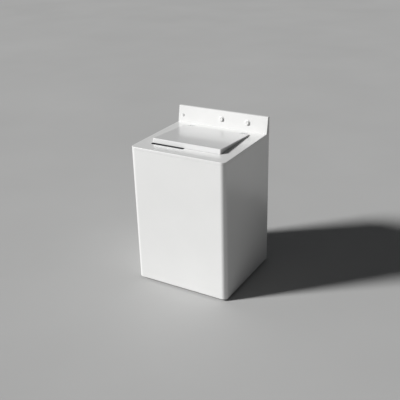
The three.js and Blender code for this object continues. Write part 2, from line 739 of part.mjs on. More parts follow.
function motor() {
  const top = plateTop + 96;
  const ends = turned([[7, plateTop], [motorRadius - 8, plateTop], [motorRadius, plateTop + 10],
    [motorRadius, plateTop + 84], [motorRadius - 10, top], [0, top], [0, plateTop + 20], [7, plateTop + 20]],
  28);
  const feet = [0, 1, 2, 3].map((i) => block(30, motorRadius + 10, -6, 6, plateTop, plateTop + 6)
    .rotateZ((i + 0.5) * Math.PI / 2));
  const boxTop = block(motorRadius - 4, motorRadius + 16, -20, 20, plateTop + 30,
    plateTop + 70).rotateZ(Math.PI);
  return join(ends, boxTop, ...feet).translate(motorX, motorY, 0);
}

function drainPump() {
  const volute = turned([[0, plateTop], [42, plateTop], [42, plateTop + 34], [30, plateTop + 38],
    [30, plateTop + 78], [24, plateTop + 84], [0, plateTop + 84]], 28).translate(pumpX, pumpY, 0);
  const inlet = bar(spigotRadius, [pumpX + 15, pumpY + 30, plateTop + 18], [pumpX + 15, pumpY + 66,
    plateTop + 18]);
  const outlet = bar(spigotRadius, [pumpX + 22, pumpY - 12, plateTop + 18], [pumpX + 62, pumpY - 12,
    plateTop + 18]);
  const bores = [
    bar(spigotRadius - 3, [pumpX + 15, pumpY + 10, plateTop + 18], [pumpX + 15, pumpY + 70, plateTop + 18]),
    bar(spigotRadius - 3, [pumpX + 5, pumpY - 12, plateTop + 18], [pumpX + 70, pumpY - 12, plateTop + 18]),
  ];
  return cut(join(volute, inlet, outlet), ...bores);
}

function pumpHose() {
  const z = plateTop + 18;
  return hose([[sumpX, sumpY, tubBottom - 2], [sumpX, sumpY, tubBottom - 30], [sumpX, sumpY - 2, z + 40],
    [sumpX, sumpY - 16, z + 8], [sumpX, pumpY + 66, z], [sumpX, pumpY + 46, z]],
  hoseRadius, hoseRadius - hoseWall);
}

// ---- water ----
const portRadius = 12;
const portZ = deckTop - 104;
const portPlaces = [[halfWidth - 147, portZ], [halfWidth - 99, portZ]];
const portMiddle = (portPlaces[0][0] + portPlaces[1][0]) / 2;
const drainX = 112 - halfWidth;
const drainZ = portZ;
const drainRadius = 15;
const glandX = 172 - halfWidth;
const glandZ = portZ;
const glandRadius = 9;
const spoutX = portMiddle - 70;
const spoutZ = deckTop - 42;

function inletValve() {
  const inner = fieldY - sheet - clearance;
  const body = block(portPlaces[0][0] - 18, portPlaces[1][0] + 18, inner - 30, inner, portZ - 15,
    portZ + 15);
  const ports = portPlaces.map(([x, z]) => bar(portRadius, [x, inner - 2, z], [x, rearY - 4, z], 20));
  const bores = portPlaces.map(([x, z]) => bar(portRadius - 3, [x, inner - 6, z], [x, rearY + 4, z], 16));
  const coils = portPlaces.map(([x, z]) => disc(14, z - 44, z - 14, x, inner - 16, 16));
  const nozzle = bar(nozzleRadius, [portMiddle, inner - 16, portZ + 10], [portMiddle, inner - 16,
    portZ + 28]);
  return cut(join(body, ...ports, ...coils, nozzle), ...bores);
}

function fillHose() {
  const y = fieldY - sheet - clearance - 16;
  const z = portZ + 36;
  return hose([[portMiddle, y, z - 12], [portMiddle, y, z - 2], [portMiddle - 6, y - 4, z + 14],
    [portMiddle - 30, y - 16, z + 24], [spoutX + 14, y - 26, z + 26],
    [spoutX, y - 34, z + 26], [spoutX, y - 44, z + 26]], fillHoseRadius, fillHoseRadius - hoseWall);
}

function fillSpout() {
  const top = deckTop - sheet;
  const rear = fieldY - sheet - clearance - 16 - 46;
  const front = openingCentreY + openingDepth / 2 + sheet + 1;
  const body = block(spoutX - 24, spoutX + 24, front, rear, top - 62, top);
  const hollow = block(spoutX - 21, spoutX + 21, front + 2, rear - 3, top - 70, top - 3);
  const port = bar(nozzleRadius, [spoutX, rear - 6, spoutZ], [spoutX, rear + 8, spoutZ]);
  const bore = bar(5, [spoutX, rear - 9, spoutZ], [spoutX, rear + 20, spoutZ]);
  return cut(join(cut(body, hollow), port), bore);
}

function drainPort() {
  const plateY = fieldY - sheet - clearance;
  const barb = bar(drainRadius, [drainX, plateY - 20, drainZ], [drainX, rearY - 4, drainZ], 20);
  const flange = bar(drainRadius + 8, [drainX, plateY - 3, drainZ], [drainX, plateY, drainZ], 20);
  const bore = bar(drainRadius - 3, [drainX, plateY - 40, drainZ], [drainX, rearY + 5, drainZ], 16);
  return cut(join(barb, flange), bore);
}

function cordGland() {
  const inner = fieldY - sheet - clearance;
  const stem = bar(glandRadius, [glandX, inner - 10, glandZ], [glandX, fieldY + 6, glandZ], 16);
  const rim = bar(glandRadius + 4, [glandX, fieldY + clearance, glandZ], [glandX, fieldY + 6, glandZ], 16);
  const bore = bar(glandRadius - 4, [glandX, inner - 30, glandZ], [glandX, fieldY + 30, glandZ], 12);
  return cut(join(stem, rim), bore);
}

// ---- suspension ----
function suspensionRod() {
  return join(disc(rodRadius, rodBottom, bracketTop + 14, 0, 0, 12),
    turned([[0, rodBottom], [19, rodBottom], [19, rodBottom + 4], [0, rodBottom + 4]], 20),
    turned([[0, bracketTop + 0.3], [9, bracketTop + 0.3], [9, bracketTop + 5], [5, bracketTop + 11],
      [0, bracketTop + 11]], 16));
}

function suspensionSpring() {
  const turns = 7;
  const stepsPerTurn = 9;
  const bottom = rodBottom + 4 + springWire + 0.3;
  const top = armBottom - springWire - 0.3;
  const points = [];
  for (let i = 0; i <= turns * stepsPerTurn; i += 1) {
    const angle = (i / stepsPerTurn) * Math.PI * 2;
    const z = bottom + ((top - bottom) * i) / (turns * stepsPerTurn);
    points.push([springRadius * Math.cos(angle), springRadius * Math.sin(angle), z]);
  }
  return tube(points, springWire, 4, turns * stepsPerTurn);
}

// ---- assembly ----
piece('cabinet_wrap', cabinetWrap(), whiteEnamel);
piece('rear_frame', rearFrame(), galvanised);
piece('rear_panel', rearPanel(), galvanised);
piece('rear_valve_plate', valvePlate(), galvanised);
piece('base_frame', baseFrame(), galvanised);
piece('top_deck', topDeck(), whiteEnamel);
piece('lid', lidShell(), whiteEnamel);
piece('lid_liner', lidLiner(), whitePlastic);
piece('lid_bumper', lidBumper(), rubber);
piece('lid_switch', lidSwitch(), darkPlastic);
sides.forEach(([name, s]) => {
  piece(`lid_hinge_bracket_${name}`, hingeBracket(s), stainless);
  piece(`lid_hinge_pin_${name}`, hingePinAt(s), springSteel);
});

piece('console_shell', consoleShell(), whitePlastic);
piece('console_back_cover', consoleBack(), galvanised);
const cycleGroup = faceGroup(cycleKnobX, knobHeight);
piece('cycle_knob', knob(), whitePlastic, cycleGroup);
piece('cycle_shaft', selectorShaft(), springSteel, cycleGroup);
piece('cycle_timer', selector(20, 11), darkPlastic, cycleGroup);
const levelGroup = faceGroup(levelKnobX, knobHeight);
piece('level_knob', knob(), whitePlastic, levelGroup);
piece('level_shaft', selectorShaft(), springSteel, levelGroup);
piece('pressure_switch', selector(17, 10), greyPlastic, levelGroup);
const buttonGroup = faceGroup(buttonX, buttonHeight);
piece('start_button', startButton(), whitePlastic, buttonGroup);
piece('start_switch', startSwitch(), darkPlastic, buttonGroup);

piece('outer_tub', outerTub(), whitePlastic);
piece('tub_ring', tubRing(), whitePlastic);
piece('basket', basketShell(), whiteEnamel);
piece('balance_ring', balanceRing(), whitePlastic);
piece('basket_hub', basketHub(), castAlloy);
piece('agitator', agitator(), whitePlastic);
piece('agitator_cap', agitatorCap(), greyPlastic);
piece('spin_tube', spinTube(), springSteel);
piece('drive_shaft', driveShaft(), springSteel);
piece('tub_bearing', tubBearing(), springSteel);
piece('tub_seal', tubSeal(), rubber);
piece('gearcase', gearcase(), castAlloy);
piece('motor_plate', motorPlate(), galvanised);
piece('motor', motor(), castAlloy);
piece('drive_pulley', pulley(drivePulleyRadius, 7, plateTop + 24, 0, tubCentreY), castAlloy);
piece('motor_pulley', pulley(motorPulleyRadius, 5, plateTop + 16, motorX, motorY), castAlloy);
piece('drive_belt', driveBelt(), rubber);
piece('drain_pump', drainPump(), darkPlastic);
piece('pump_hose', pumpHose(), rubber);
piece('inlet_valve', inletValve(), greyPlastic);
piece('fill_hose', fillHose(), rubber);
piece('fill_spout', fillSpout(), greyPlastic);
piece('drain_port', drainPort(), greyPlastic);
piece('cord_gland', cordGland(), darkPlastic);

corners.forEach(([name, sx, sy]) => {
  const foot = piece(`leveling_foot_${name}`, levelingFoot(), rubber);
  foot.position.set(sx * (halfWidth - footInset), sy * (cabinetDepth / 2 - footInset), 0);
  const rod = piece(`suspension_rod_${name}`, suspensionRod(), springSteel);
  const spring = piece(`suspension_spring_${name}`, suspensionSpring(), springSteel);
  [rod, spring].forEach((part) => part.position.set(sx * rodOffsetX, tubCentreY + sy * rodOffsetY, 0));
});

export default washer;
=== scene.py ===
import json
import math
import bmesh
import bpy
from mathutils import Matrix, Vector


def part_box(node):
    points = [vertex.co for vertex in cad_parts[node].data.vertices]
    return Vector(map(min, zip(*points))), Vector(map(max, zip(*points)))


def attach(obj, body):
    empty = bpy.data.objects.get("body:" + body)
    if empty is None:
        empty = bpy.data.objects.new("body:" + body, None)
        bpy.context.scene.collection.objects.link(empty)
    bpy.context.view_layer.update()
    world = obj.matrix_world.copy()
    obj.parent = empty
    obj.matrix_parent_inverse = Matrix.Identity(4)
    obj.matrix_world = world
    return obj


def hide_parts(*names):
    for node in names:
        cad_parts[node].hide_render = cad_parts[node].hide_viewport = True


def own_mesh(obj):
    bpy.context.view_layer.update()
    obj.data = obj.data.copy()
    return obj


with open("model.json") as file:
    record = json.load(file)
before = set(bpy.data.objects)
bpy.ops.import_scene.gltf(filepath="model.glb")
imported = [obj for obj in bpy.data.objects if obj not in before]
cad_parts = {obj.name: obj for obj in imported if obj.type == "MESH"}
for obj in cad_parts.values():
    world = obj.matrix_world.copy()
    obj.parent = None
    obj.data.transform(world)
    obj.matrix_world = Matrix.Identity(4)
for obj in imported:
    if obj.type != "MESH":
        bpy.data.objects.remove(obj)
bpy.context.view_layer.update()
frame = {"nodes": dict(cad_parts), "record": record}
mm = 0.001
print("frame loaded:", len(frame["nodes"]), "nodes")


# placing and joining helpers
cornerNames = ("front_left", "front_right", "rear_left", "rear_right")


def corners(node):
    low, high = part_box(node)
    return Vector(low), Vector(high)


def middleOf(node):
    low, high = corners(node)
    return (low + high) / 2


def arc(x, z, radius, degrees):
    # places on a circle round (x, z), at the given angles
    return [(x + radius * math.cos(math.radians(a)), z + radius * math.sin(math.radians(a))) for a in degrees]


def stepsFrom(x, z, *steps):
    # places given by their distances from (x, z) in millimetres
    return [(x + dx * mm, z + dz * mm) for dx, dz in steps]


def roundedLoop(x0, x1, y0, y1, frontRadius, backRadius, inset=0.0, arcSteps=10, frontStops=(), sideStops=()):
    # plan outline from the middle of the rear edge, by the left side, front and right side;
    # every outline made with the same stops has the same number of points
    x0, x1, y0, y1 = x0 + inset, x1 - inset, y0 + inset, y1 - inset
    front = max(frontRadius - inset, 1e-5)
    back = max(backRadius - inset, 1e-5)

    def corner(x, y, radius, start):
        return arc(x, y, radius, [start + 90 * i / arcSteps for i in range(arcSteps + 1)])

    points = [((x0 + x1) / 2, y1)]
    points += corner(x0 + back, y1 - back, back, 90)
    points += [(x0, y) for y in sorted(sideStops, reverse=True)]
    points += corner(x0 + front, y0 + front, front, 180)
    points += [(x, y0) for x in sorted(frontStops)]
    points += corner(x1 - front, y0 + front, front, 270)
    points += [(x1, y) for y in sorted(sideStops)]
    points += corner(x1 - back, y1 - back, back, 0)
    return [Vector((x, y, 0)) for x, y in points]


def atHeight(loop, z):
    return [Vector((p.x, p.y, z)) for p in loop]


def loft(bm, rings, wrapRings=False, wrapPoints=True, capFirst=False, capLast=False, capSides=False):
    made = [[bm.verts.new(p) for p in ring] for ring in rings]
    pairs = list(zip(made, made[1:])) + ([(made[-1], made[0])] if wrapRings else [])
    for low, high in pairs:
        count = len(low)
        for i in range(count if wrapPoints else count - 1):
            j = (i + 1) % count
            bm.faces.new((low[i], low[j], high[j], high[i]))
    if capFirst:
        bm.faces.new(list(reversed(made[0])))
    if capLast:
        bm.faces.new(made[-1])
    if capSides:
        bm.faces.new([ring[0] for ring in made])
        bm.faces.new([ring[-1] for ring in reversed(made)])
    return made


def addTurned(bm, section, place, sides=32, wrap=False, wobble=None):
    # a section of (radius, height) turned about the place's +Z; wrap closes it into a ring
    rings = []
    for radius, z in section:
        ring = []
        for i in range(sides):
            a = math.tau * i / sides
            r = max(radius, 1e-5) * (wobble(a, z) if wobble else 1)
            ring.append(place @ Vector((r * math.cos(a), r * math.sin(a), z)))
        rings.append(ring)
    loft(bm, rings, wrapRings=wrap, capFirst=not wrap, capLast=not wrap)


def addBlock(bm, low, high, matrix=None, rounding=0.0):
    made = bmesh.ops.create_cube(bm, size=1)["verts"]
    for v in made:
        v.co = Vector([l + (c + 0.5) * (h - l) for c, l, h in zip(v.co, low, high)])
        if matrix:
            v.co = matrix @ v.co
    if rounding:
        edges = list({edge for vert in made for edge in vert.link_edges})
        bmesh.ops.bevel(bm, geom=edges, offset=rounding, segments=3, affect="EDGES", profile=0.5)


def addTube(bm, points, radius, sides=12, capped=True):
    # a round section carried along a list of points
    rings = []
    side = None
    for i, p in enumerate(points):
        before = points[max(i - 1, 0)]
        after = points[min(i + 1, len(points) - 1)]
        along = (after - before).normalized()
        if side is None:
            side = along.orthogonal().normalized()
        side = (side - along * side.dot(along)).normalized()
        up = along.cross(side)
        r = radius(i) if callable(radius) else radius
        rings.append([p + (side * math.cos(a) + up * math.sin(a)) * r
                      for a in (math.tau * k / sides for k in range(sides))])
    loft(bm, rings, capFirst=capped, capLast=capped)


def smoothCurve(points, steps=8):
    # Catmull-Rom through the given points
    result = []
    for i in range(len(points) - 1):
        p0, p1 = points[max(i - 1, 0)], points[i]
        p2, p3 = points[i + 1], points[min(i + 2, len(points) - 1)]
        for k in range(steps):
            t = k / steps
            result.append(0.5 * ((2 * p1) + (p2 - p0) * t + (2 * p0 - 5 * p1 + 4 * p2 - p3) * t * t
                                 + (3 * p1 - p0 - 3 * p2 + p3) * t ** 3))
    result.append(points[-1].copy())
    return result


def cutAway(piece, cutter):
    # takes the cutter mesh out of the piece, for good
    tool = bpy.data.objects.new("cutter", bpy.data.meshes.new("cutter"))
    bmesh.ops.recalc_face_normals(cutter, faces=cutter.faces)
    cutter.to_mesh(tool.data)
    cutter.free()
    bpy.context.collection.objects.link(tool)
    change = piece.modifiers.new("cut", "BOOLEAN")
    change.operation, change.solver, change.object = "DIFFERENCE", "EXACT", tool
    applyAll(piece)
    bpy.data.objects.remove(tool, do_unlink=True)


def applyAll(piece):
    graph = bpy.context.evaluated_depsgraph_get()
    graph.update()
    mesh = bpy.data.meshes.new_from_object(piece.evaluated_get(graph))
    piece.modifiers.clear()
    piece.data = mesh


def shade(piece, angle=32, bevel=None, segments=3):
    # soft edges where asked, then smooth faces that break at sharp edges
    if bevel:
        change = piece.modifiers.new("edges", "BEVEL")
        change.width, change.segments, change.limit_method = bevel, segments, "ANGLE"
        change.angle_limit = math.radians(35)
        applyAll(piece)
    bm = bmesh.new()
    bm.from_mesh(piece.data)
    limit = math.radians(angle)
    for edge in bm.edges:
        edge.smooth = len(edge.link_faces) == 2 and edge.calc_face_angle(0) < limit
    for face in bm.faces:
        face.smooth = True
    bm.to_mesh(piece.data)
    bm.free()
    weigh = piece.modifiers.new("weighted", "WEIGHTED_NORMAL")
    weigh.keep_sharp = True


def addPiece(name, bm, body, slotName, nodes=(), finish=None, bevel=None, segments=3, angle=32, cutters=()):
    # one finished piece; it wears its slot's own finish unless another is given
    bmesh.ops.recalc_face_normals(bm, faces=bm.faces)
    mesh = bpy.data.meshes.new(name)
    bm.to_mesh(mesh)
    bm.free()
    piece = bpy.data.objects.new(name, mesh)
    bpy.context.collection.objects.link(piece)
    for cutter in cutters:
        cutAway(piece, cutter)
    shade(piece, angle, bevel, segments)
    piece.data.materials.clear()
    piece.data.materials.append(finish or slotFinish[slotName])
    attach(piece, body)
    if nodes:
        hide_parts(*nodes)
    return piece


# finishes
def newMaterial(name):
    material = bpy.data.materials.new(name)
    material.use_nodes = True
    tree = material.node_tree
    shader = tree.nodes["Principled BSDF"]
    place = tree.nodes.new("ShaderNodeTexCoord").outputs["Object"]
    return material, tree, shader, place


def noiseAt(tree, place, scale, detail=3.0, stretch=None):
    if stretch:
        mapping = tree.nodes.new("ShaderNodeMapping")
        mapping.inputs["Scale"].default_value = stretch
        tree.links.new(place, mapping.inputs["Vector"])
        place = mapping.outputs["Vector"]
    noise = tree.nodes.new("ShaderNodeTexNoise")
    noise.inputs["Scale"].default_value = scale
    noise.inputs["Detail"].default_value = detail
    tree.links.new(place, noise.inputs["Vector"])
    return noise.outputs["Fac"]


def ramp(tree, value, stops):
    node = tree.nodes.new("ShaderNodeValToRGB")
    node.color_ramp.elements[0].position = stops[0][0]
    node.color_ramp.elements[0].color = (*stops[0][1], 1)
    node.color_ramp.elements[1].position = stops[-1][0]
    node.color_ramp.elements[1].color = (*stops[-1][1], 1)
    for position, colour in stops[1:-1]:
        node.color_ramp.elements.new(position).color = (*colour, 1)
    tree.links.new(value, node.inputs["Fac"])
    return node.outputs["Color"]


def spread(tree, value, low, high):
    node = tree.nodes.new("ShaderNodeMapRange")
    node.inputs["To Min"].default_value = low
    node.inputs["To Max"].default_value = high
    tree.links.new(value, node.inputs["Value"])
    return node.outputs["Result"]


def bumpFrom(tree, height, strength, distance, under=None):
    node = tree.nodes.new("ShaderNodeBump")
    node.inputs["Strength"].default_value = strength
    node.inputs["Distance"].default_value = distance
    tree.links.new(height, node.inputs["Height"])
    if under:
        tree.links.new(under, node.inputs["Normal"])
    return node.outputs["Normal"]


def plainFinish(name, values):
    # mottled colour, uneven gloss and a grain; metals are drawn out along one direction
    material, tree, shader, place = newMaterial(name)
    stretch = values.get("stretch")
    broad = noiseAt(tree, place, values["broad"], 4)
    tones = ramp(tree, broad, [(0.3, values["dark"]), (0.7, values["light"])])
    tree.links.new(tones, shader.inputs["Base Color"])
    fine = noiseAt(tree, place, values["fine"], 3, stretch)
    gloss = spread(tree, fine, *values["roughness"])
    tree.links.new(gloss, shader.inputs["Roughness"])
    normal = bumpFrom(tree, fine, values["grain"], 0.0004)
    if values.get("wave"):
        wide = noiseAt(tree, place, values["wave"], 1)
        normal = bumpFrom(tree, wide, 0.05, 0.002, normal)
    tree.links.new(normal, shader.inputs["Normal"])
    shader.inputs["Metallic"].default_value = values.get("metallic", 0.0)
    shader.inputs["Coat Weight"].default_value = values.get("coat", 0.0)
    shader.inputs["Coat Roughness"].default_value = values.get("coatRoughness", 0.1)
    shader.inputs["IOR"].default_value = values.get("ior", 1.45)
    return material


enamelValues = {"dark": (0.80, 0.80, 0.79), "light": (0.84, 0.84, 0.83), "broad": 2.0, "fine": 700,
                "roughness": (0.26, 0.36), "grain": 0.03, "wave": 60, "coat": 0.5, "coatRoughness": 0.12}
# the lid's enamel is the cabinet's white painted a little darker: painted shade for the lid top, which leans
# away from the light
lidPaintedShadeValues = dict(enamelValues, dark=(0.75, 0.75, 0.745), light=(0.78, 0.78, 0.775), broad=3.0)
mouldedValues = {"dark": (0.79, 0.79, 0.78), "light": (0.83, 0.83, 0.82), "broad": 5, "fine": 1500,
                 "roughness": (0.36, 0.48), "grain": 0.08}
agitatorValues = dict(mouldedValues, roughness=(0.30, 0.42), grain=0.05)
greyValues = {"dark": (0.24, 0.26, 0.27), "light": (0.30, 0.31, 0.32), "broad": 12, "fine": 1300,
              "roughness": (0.45, 0.6), "grain": 0.12}
darkValues = {"dark": (0.025, 0.027, 0.03), "light": (0.045, 0.047, 0.05), "broad": 14, "fine": 1200,
              "roughness": (0.45, 0.62), "grain": 0.14}
rubberValues = {"dark": (0.014, 0.014, 0.015), "light": (0.03, 0.03, 0.031), "broad": 25, "fine": 900,
                "roughness": (0.7, 0.9), "grain": 0.2}
castValues = {"dark": (0.36, 0.37, 0.38), "light": (0.5, 0.51, 0.52), "broad": 18, "fine": 420,
              "roughness": (0.42, 0.62), "grain": 0.35, "metallic": 0.9}
drawnValues = {"dark": (0.38, 0.39, 0.40), "light": (0.52, 0.53, 0.55), "broad": 30, "fine": 300,
               "roughness": (0.22, 0.42), "grain": 0.08, "metallic": 1.0, "stretch": (6, 6, 0.3)}
brushedValues = {"dark": (0.56, 0.57, 0.58), "light": (0.66, 0.67, 0.68), "broad": 10, "fine": 500,
                 "roughness": (0.2, 0.36), "grain": 0.06, "metallic": 1.0, "stretch": (0.2, 6, 6)}


def galvanisedFinish(name, values):
    # zinc spangle: flat crystals that each reflect a little differently
    material, tree, shader, place = newMaterial(name)
    cells = tree.nodes.new("ShaderNodeTexVoronoi")
    cells.inputs["Scale"].default_value = values["spangle"]
    tree.links.new(place, cells.inputs["Vector"])
    split = tree.nodes.new("ShaderNodeSeparateColor")
    tree.links.new(cells.outputs["Color"], split.inputs["Color"])
    tones = ramp(tree, split.outputs["Red"], [(0.0, values["dark"]), (1.0, values["light"])])
    tree.links.new(tones, shader.inputs["Base Color"])
    tree.links.new(spread(tree, split.outputs["Green"], *values["roughness"]), shader.inputs["Roughness"])
    fine = noiseAt(tree, place, values["fine"], 2)
    tree.links.new(bumpFrom(tree, fine, values["grain"], 0.0004), shader.inputs["Normal"])
    shader.inputs["Metallic"].default_value = values["metallic"]
    return material


zincValues = {"spangle": 90, "dark": (0.43, 0.45, 0.46), "light": (0.60, 0.62, 0.63),
              "roughness": (0.32, 0.5), "fine": 600, "grain": 0.1, "metallic": 0.85}


def speckledFinish(name, values):
    # porcelain enamel with fine grey flecks
    material, tree, shader, place = newMaterial(name)
    flecks = tree.nodes.new("ShaderNodeTexVoronoi")
    flecks.inputs["Scale"].default_value = values["flecks"]
    tree.links.new(place, flecks.inputs["Vector"])
    tones = ramp(tree, flecks.outputs["Distance"], [(0.0, values["fleck"]), (0.10, values["fleck"]),
                                                    (0.16, values["ground"]), (1.0, values["ground"])])
    tree.links.new(tones, shader.inputs["Base Color"])
    fine = noiseAt(tree, place, 500, 3)
    tree.links.new(spread(tree, fine, *values["roughness"]), shader.inputs["Roughness"])
    tree.links.new(bumpFrom(tree, fine, 0.05, 0.0004), shader.inputs["Normal"])
    shader.inputs["Coat Weight"].default_value = 0.6
    shader.inputs["Coat Roughness"].default_value = 0.08
    return material


basketFinishValues = {"flecks": 260, "fleck": (0.42, 0.46, 0.52), "ground": (0.76, 0.77, 0.77),
                      "roughness": (0.16, 0.28)}

enamel = plainFinish("gloss white enamel", enamelValues)
lidPaintedShadeEnamel = plainFinish("lid white enamel with painted shade", lidPaintedShadeValues)
moulded = plainFinish("white moulded plastic", mouldedValues)
agitatorPlastic = plainFinish("agitator plastic", agitatorValues)
greyPlastic = plainFinish("grey moulded plastic", greyValues)
darkPlastic = plainFinish("dark moulded plastic", darkValues)
blackRubber = plainFinish("black rubber", rubberValues)
castAlloy = plainFinish("cast alloy", castValues)
drawnSteel = plainFinish("drawn steel", drawnValues)
brushedSteel = plainFinish("brushed stainless", brushedValues)
zinc = galvanisedFinish("galvanised sheet", zincValues)
porcelain = speckledFinish("speckled porcelain", basketFinishValues)
slotFinish = {"white_enamel": enamel, "white_plastic": moulded, "grey_plastic": greyPlastic,
              "dark_plastic": darkPlastic, "galvanised": zinc, "stainless": brushedSteel,
              "cast_alloy": castAlloy, "spring_steel": drawnSteel, "black_rubber": blackRubber}
print("finishes ready:", len(slotFinish) + 3)


# cabinet
wrapLow, wrapHigh = corners("cabinet_wrap")
lidLow, lidHigh = corners("lid")
consoleLow, consoleHigh = corners("console_shell")
deckTop = corners("top_deck")[1].z

cabinet = {"cornerRadius": 34 * mm, "rearRadius": 4 * mm, "sheet": 1.5 * mm, "flange": 22 * mm,
           "skirt": 16 * mm, "seam": 0.7 * mm, "hem": 9 * mm, "edgeRoll": 1.6 * mm, "arcSteps": 16,
           "lipGap": 0.3 * mm, "lipFoot": 34 * mm, "lipTop": 4 * mm}
cornerPlate = {"drop": 40 * mm, "thick": 3 * mm, "gap": 2.5 * mm, "rearGap": 30 * mm,
               # millimetres inward from the cabinet's corner, across it and along it
               "outline": ((0, 26), (6, 8), (26, 0), (82, 0), (82, 16), (30, 92), (0, 92))}


def cabinetLoop(inset):
    return roundedLoop(wrapLow.x, wrapHigh.x, wrapLow.y, wrapHigh.y, cabinet["cornerRadius"],
                       cabinet["rearRadius"], inset, cabinet["arcSteps"])


def openLoop(inset):
    # the outline without the middle of the rear edge, ending at the two rear flanges
    loop = cabinetLoop(inset)[1:]
    y = wrapHigh.y - inset
    reach = wrapHigh.x - cabinet["flange"]
    return [Vector((-reach, y, 0))] + loop + [Vector((reach, y, 0))]


def makeCabinet():
    bm = bmesh.new()
    sheet, roll = cabinet["sheet"], cabinet["edgeRoll"]
    top = deckTop - cabinet["skirt"] - cabinet["seam"]
    bottom = wrapLow.z
    section = arc(roll, bottom + roll, roll, (270, 240, 210, 180))
    section += [(0, top), (sheet, top), (sheet, bottom + roll + sheet)]
    section += [(cabinet["hem"], bottom + roll + sheet), (cabinet["hem"], bottom)]
    rings = [atHeight(openLoop(inset), z) for inset, z in section]
    loft(bm, rings, wrapRings=True, wrapPoints=False, capSides=True)
    return addPiece("cabinet_skin", bm, "cabinet", "white_enamel", ["cabinet_wrap"])


def makeCabinetLip():
    # the inner lip that the deck drops over, and the four corner plates the rods hang from
    bm = bmesh.new()
    outer = cabinet["sheet"] + cabinet["lipGap"]
    inner = outer + cabinet["sheet"]
    low, high = deckTop - cabinet["lipFoot"], deckTop - cabinet["lipTop"]
    section = [(outer, low), (outer, high), (inner, high), (inner, low)]
    loft(bm, [atHeight(openLoop(inset), z) for inset, z in section], wrapRings=True, wrapPoints=False,
         capSides=True)
    for corner in cornerNames:
        rod = middleOf("suspension_rod_" + corner)
        sx, sy = (1 if rod.x > 0 else -1), (1 if rod.y > 0 else -1)
        edgeX = sx * (wrapHigh.x - cornerPlate["gap"])
        edgeY = wrapLow.y + cornerPlate["gap"] if sy < 0 else wrapHigh.y - cornerPlate["rearGap"]
        top = deckTop - cornerPlate["drop"]
        plan = [(edgeX - sx * across * mm, edgeY - sy * along * mm)
                for across, along in cornerPlate["outline"]]
        loft(bm, [[Vector((x, y, z)) for x, y in plan] for z in (top - cornerPlate["thick"], top)],
             capFirst=True, capLast=True)
    return addPiece("cabinet_top_lip", bm, "cabinet", "white_enamel", bevel=0.5 * mm, segments=2)


makeCabinet()
makeCabinetLip()
print("cabinet made")


# top deck
deck = {"edgeRadius": 3.0 * mm, "openingWidth": 460 * mm, "openingDepth": 370 * mm, "openingCentreY": 7 * mm,
        "openingRadius": 90 * mm, "collarRoll": 6 * mm, "collarDepth": 20 * mm}


def openingLoop(inset):
    halfX, halfY, y = deck["openingWidth"] / 2, deck["openingDepth"] / 2, deck["openingCentreY"]
    return roundedLoop(-halfX, halfX, y - halfY, y + halfY, deck["openingRadius"], deck["openingRadius"],
                       inset, cabinet["arcSteps"])


def makeDeck():
    bm = bmesh.new()
    sheet, edge, roll = cabinet["sheet"], deck["edgeRadius"], deck["collarRoll"]
    skirtBottom = deckTop - cabinet["skirt"]
    rings = [atHeight(cabinetLoop(sheet), skirtBottom), atHeight(cabinetLoop(0), skirtBottom)]
    rings += [atHeight(cabinetLoop(inset), z)
              for inset, z in arc(edge, deckTop - edge, edge, range(180, 89, -18))]
    rings += [atHeight(openingLoop(-x), z) for x, z in arc(roll, deckTop - roll, roll, range(90, 181, 18))]
    rings += [atHeight(openingLoop(0), deckTop - deck["collarDepth"]),
              atHeight(openingLoop(-sheet), deckTop - deck["collarDepth"]),
              atHeight(openingLoop(-sheet), deckTop - roll - sheet),
              atHeight(openingLoop(-roll), deckTop - sheet),
              atHeight(cabinetLoop(edge), deckTop - sheet),
              atHeight(cabinetLoop(sheet), deckTop - edge)]
    loft(bm, rings, wrapRings=True)
    hole = bmesh.new()
    loft(hole, [atHeight(pocketLoop(-pocket["gap"]), z) for z in (deckTop - 8 * mm, deckTop + 8 * mm)],
         capFirst=True, capLast=True)
    return addPiece("deck_panel", bm, "cabinet", "white_enamel", ["top_deck"], cutters=[hole])


pocket = {"inset": 2 * mm, "length": 240 * mm, "front": 22 * mm, "back": 8 * mm, "depth": 14 * mm,
          "radius": 6 * mm, "wall": 1.2 * mm, "rim": 1.2 * mm, "gap": 0.4 * mm}


def pocketLoop(inset):
    left, edge = lidLow.x + pocket["inset"], lidLow.y
    return roundedLoop(left, left + pocket["length"], edge - pocket["front"], edge + pocket["back"],
                       pocket["radius"], pocket["radius"], inset, 8)


def makeFingerPocket():
    # cup let into the deck, that fingers reach under the lid's front edge from; its dark plastic is painted
    # shade for the shadowed gap under the lid
    wall, rim = pocket["wall"], pocket["rim"]
    floor = deckTop - pocket["depth"] + wall
    section = stepsFrom(wall, floor - wall, (8, 0), (2, 0))
    section += [(0.1 * mm, floor + 1 * mm), (0.1 * mm, deckTop + 0.05 * mm)]
    section += stepsFrom(-rim, deckTop, (0, 0.05), (0, 0.3), (0.4, 0.5))
    section += stepsFrom(wall, deckTop, (-0.3, 0.5), (0, 0.2))
    section += stepsFrom(wall, floor, (0.6, 4), (1.4, 1.4), (3, 0), (8, 0))
    bm = bmesh.new()
    loft(bm, [atHeight(pocketLoop(inset), z) for inset, z in section], capFirst=True, capLast=True)
    return addPiece("finger_pocket_cup", bm, "cabinet", "dark_plastic")


makeDeck()
makeFingerPocket()
print("deck made")


# lid
lid = {"edgeRadius": 2.2 * mm, "lean": 7 * mm, "hingeBack": 3.2 * mm, "hingeUp": 4.2 * mm, "wall": 2.5 * mm,
       "cornerRadius": 7 * mm, "rearCorner": 3 * mm, "notch": 44 * mm, "spacing": 400 * mm,
       "dishGap": 12 * mm, "dishStep": 12 * mm, "dishRise": 8 * mm, "leanEnds": 60 * mm}
hingeY = lidHigh.y - lid["hingeBack"]
rearTop = deckTop + lid["hingeUp"] + lid["hingeBack"]


def lidTopAt(y):
    rise = (lidHigh.z - rearTop) / (hingeY - lidLow.y - lid["lean"])
    return rearTop + (hingeY - y) * rise


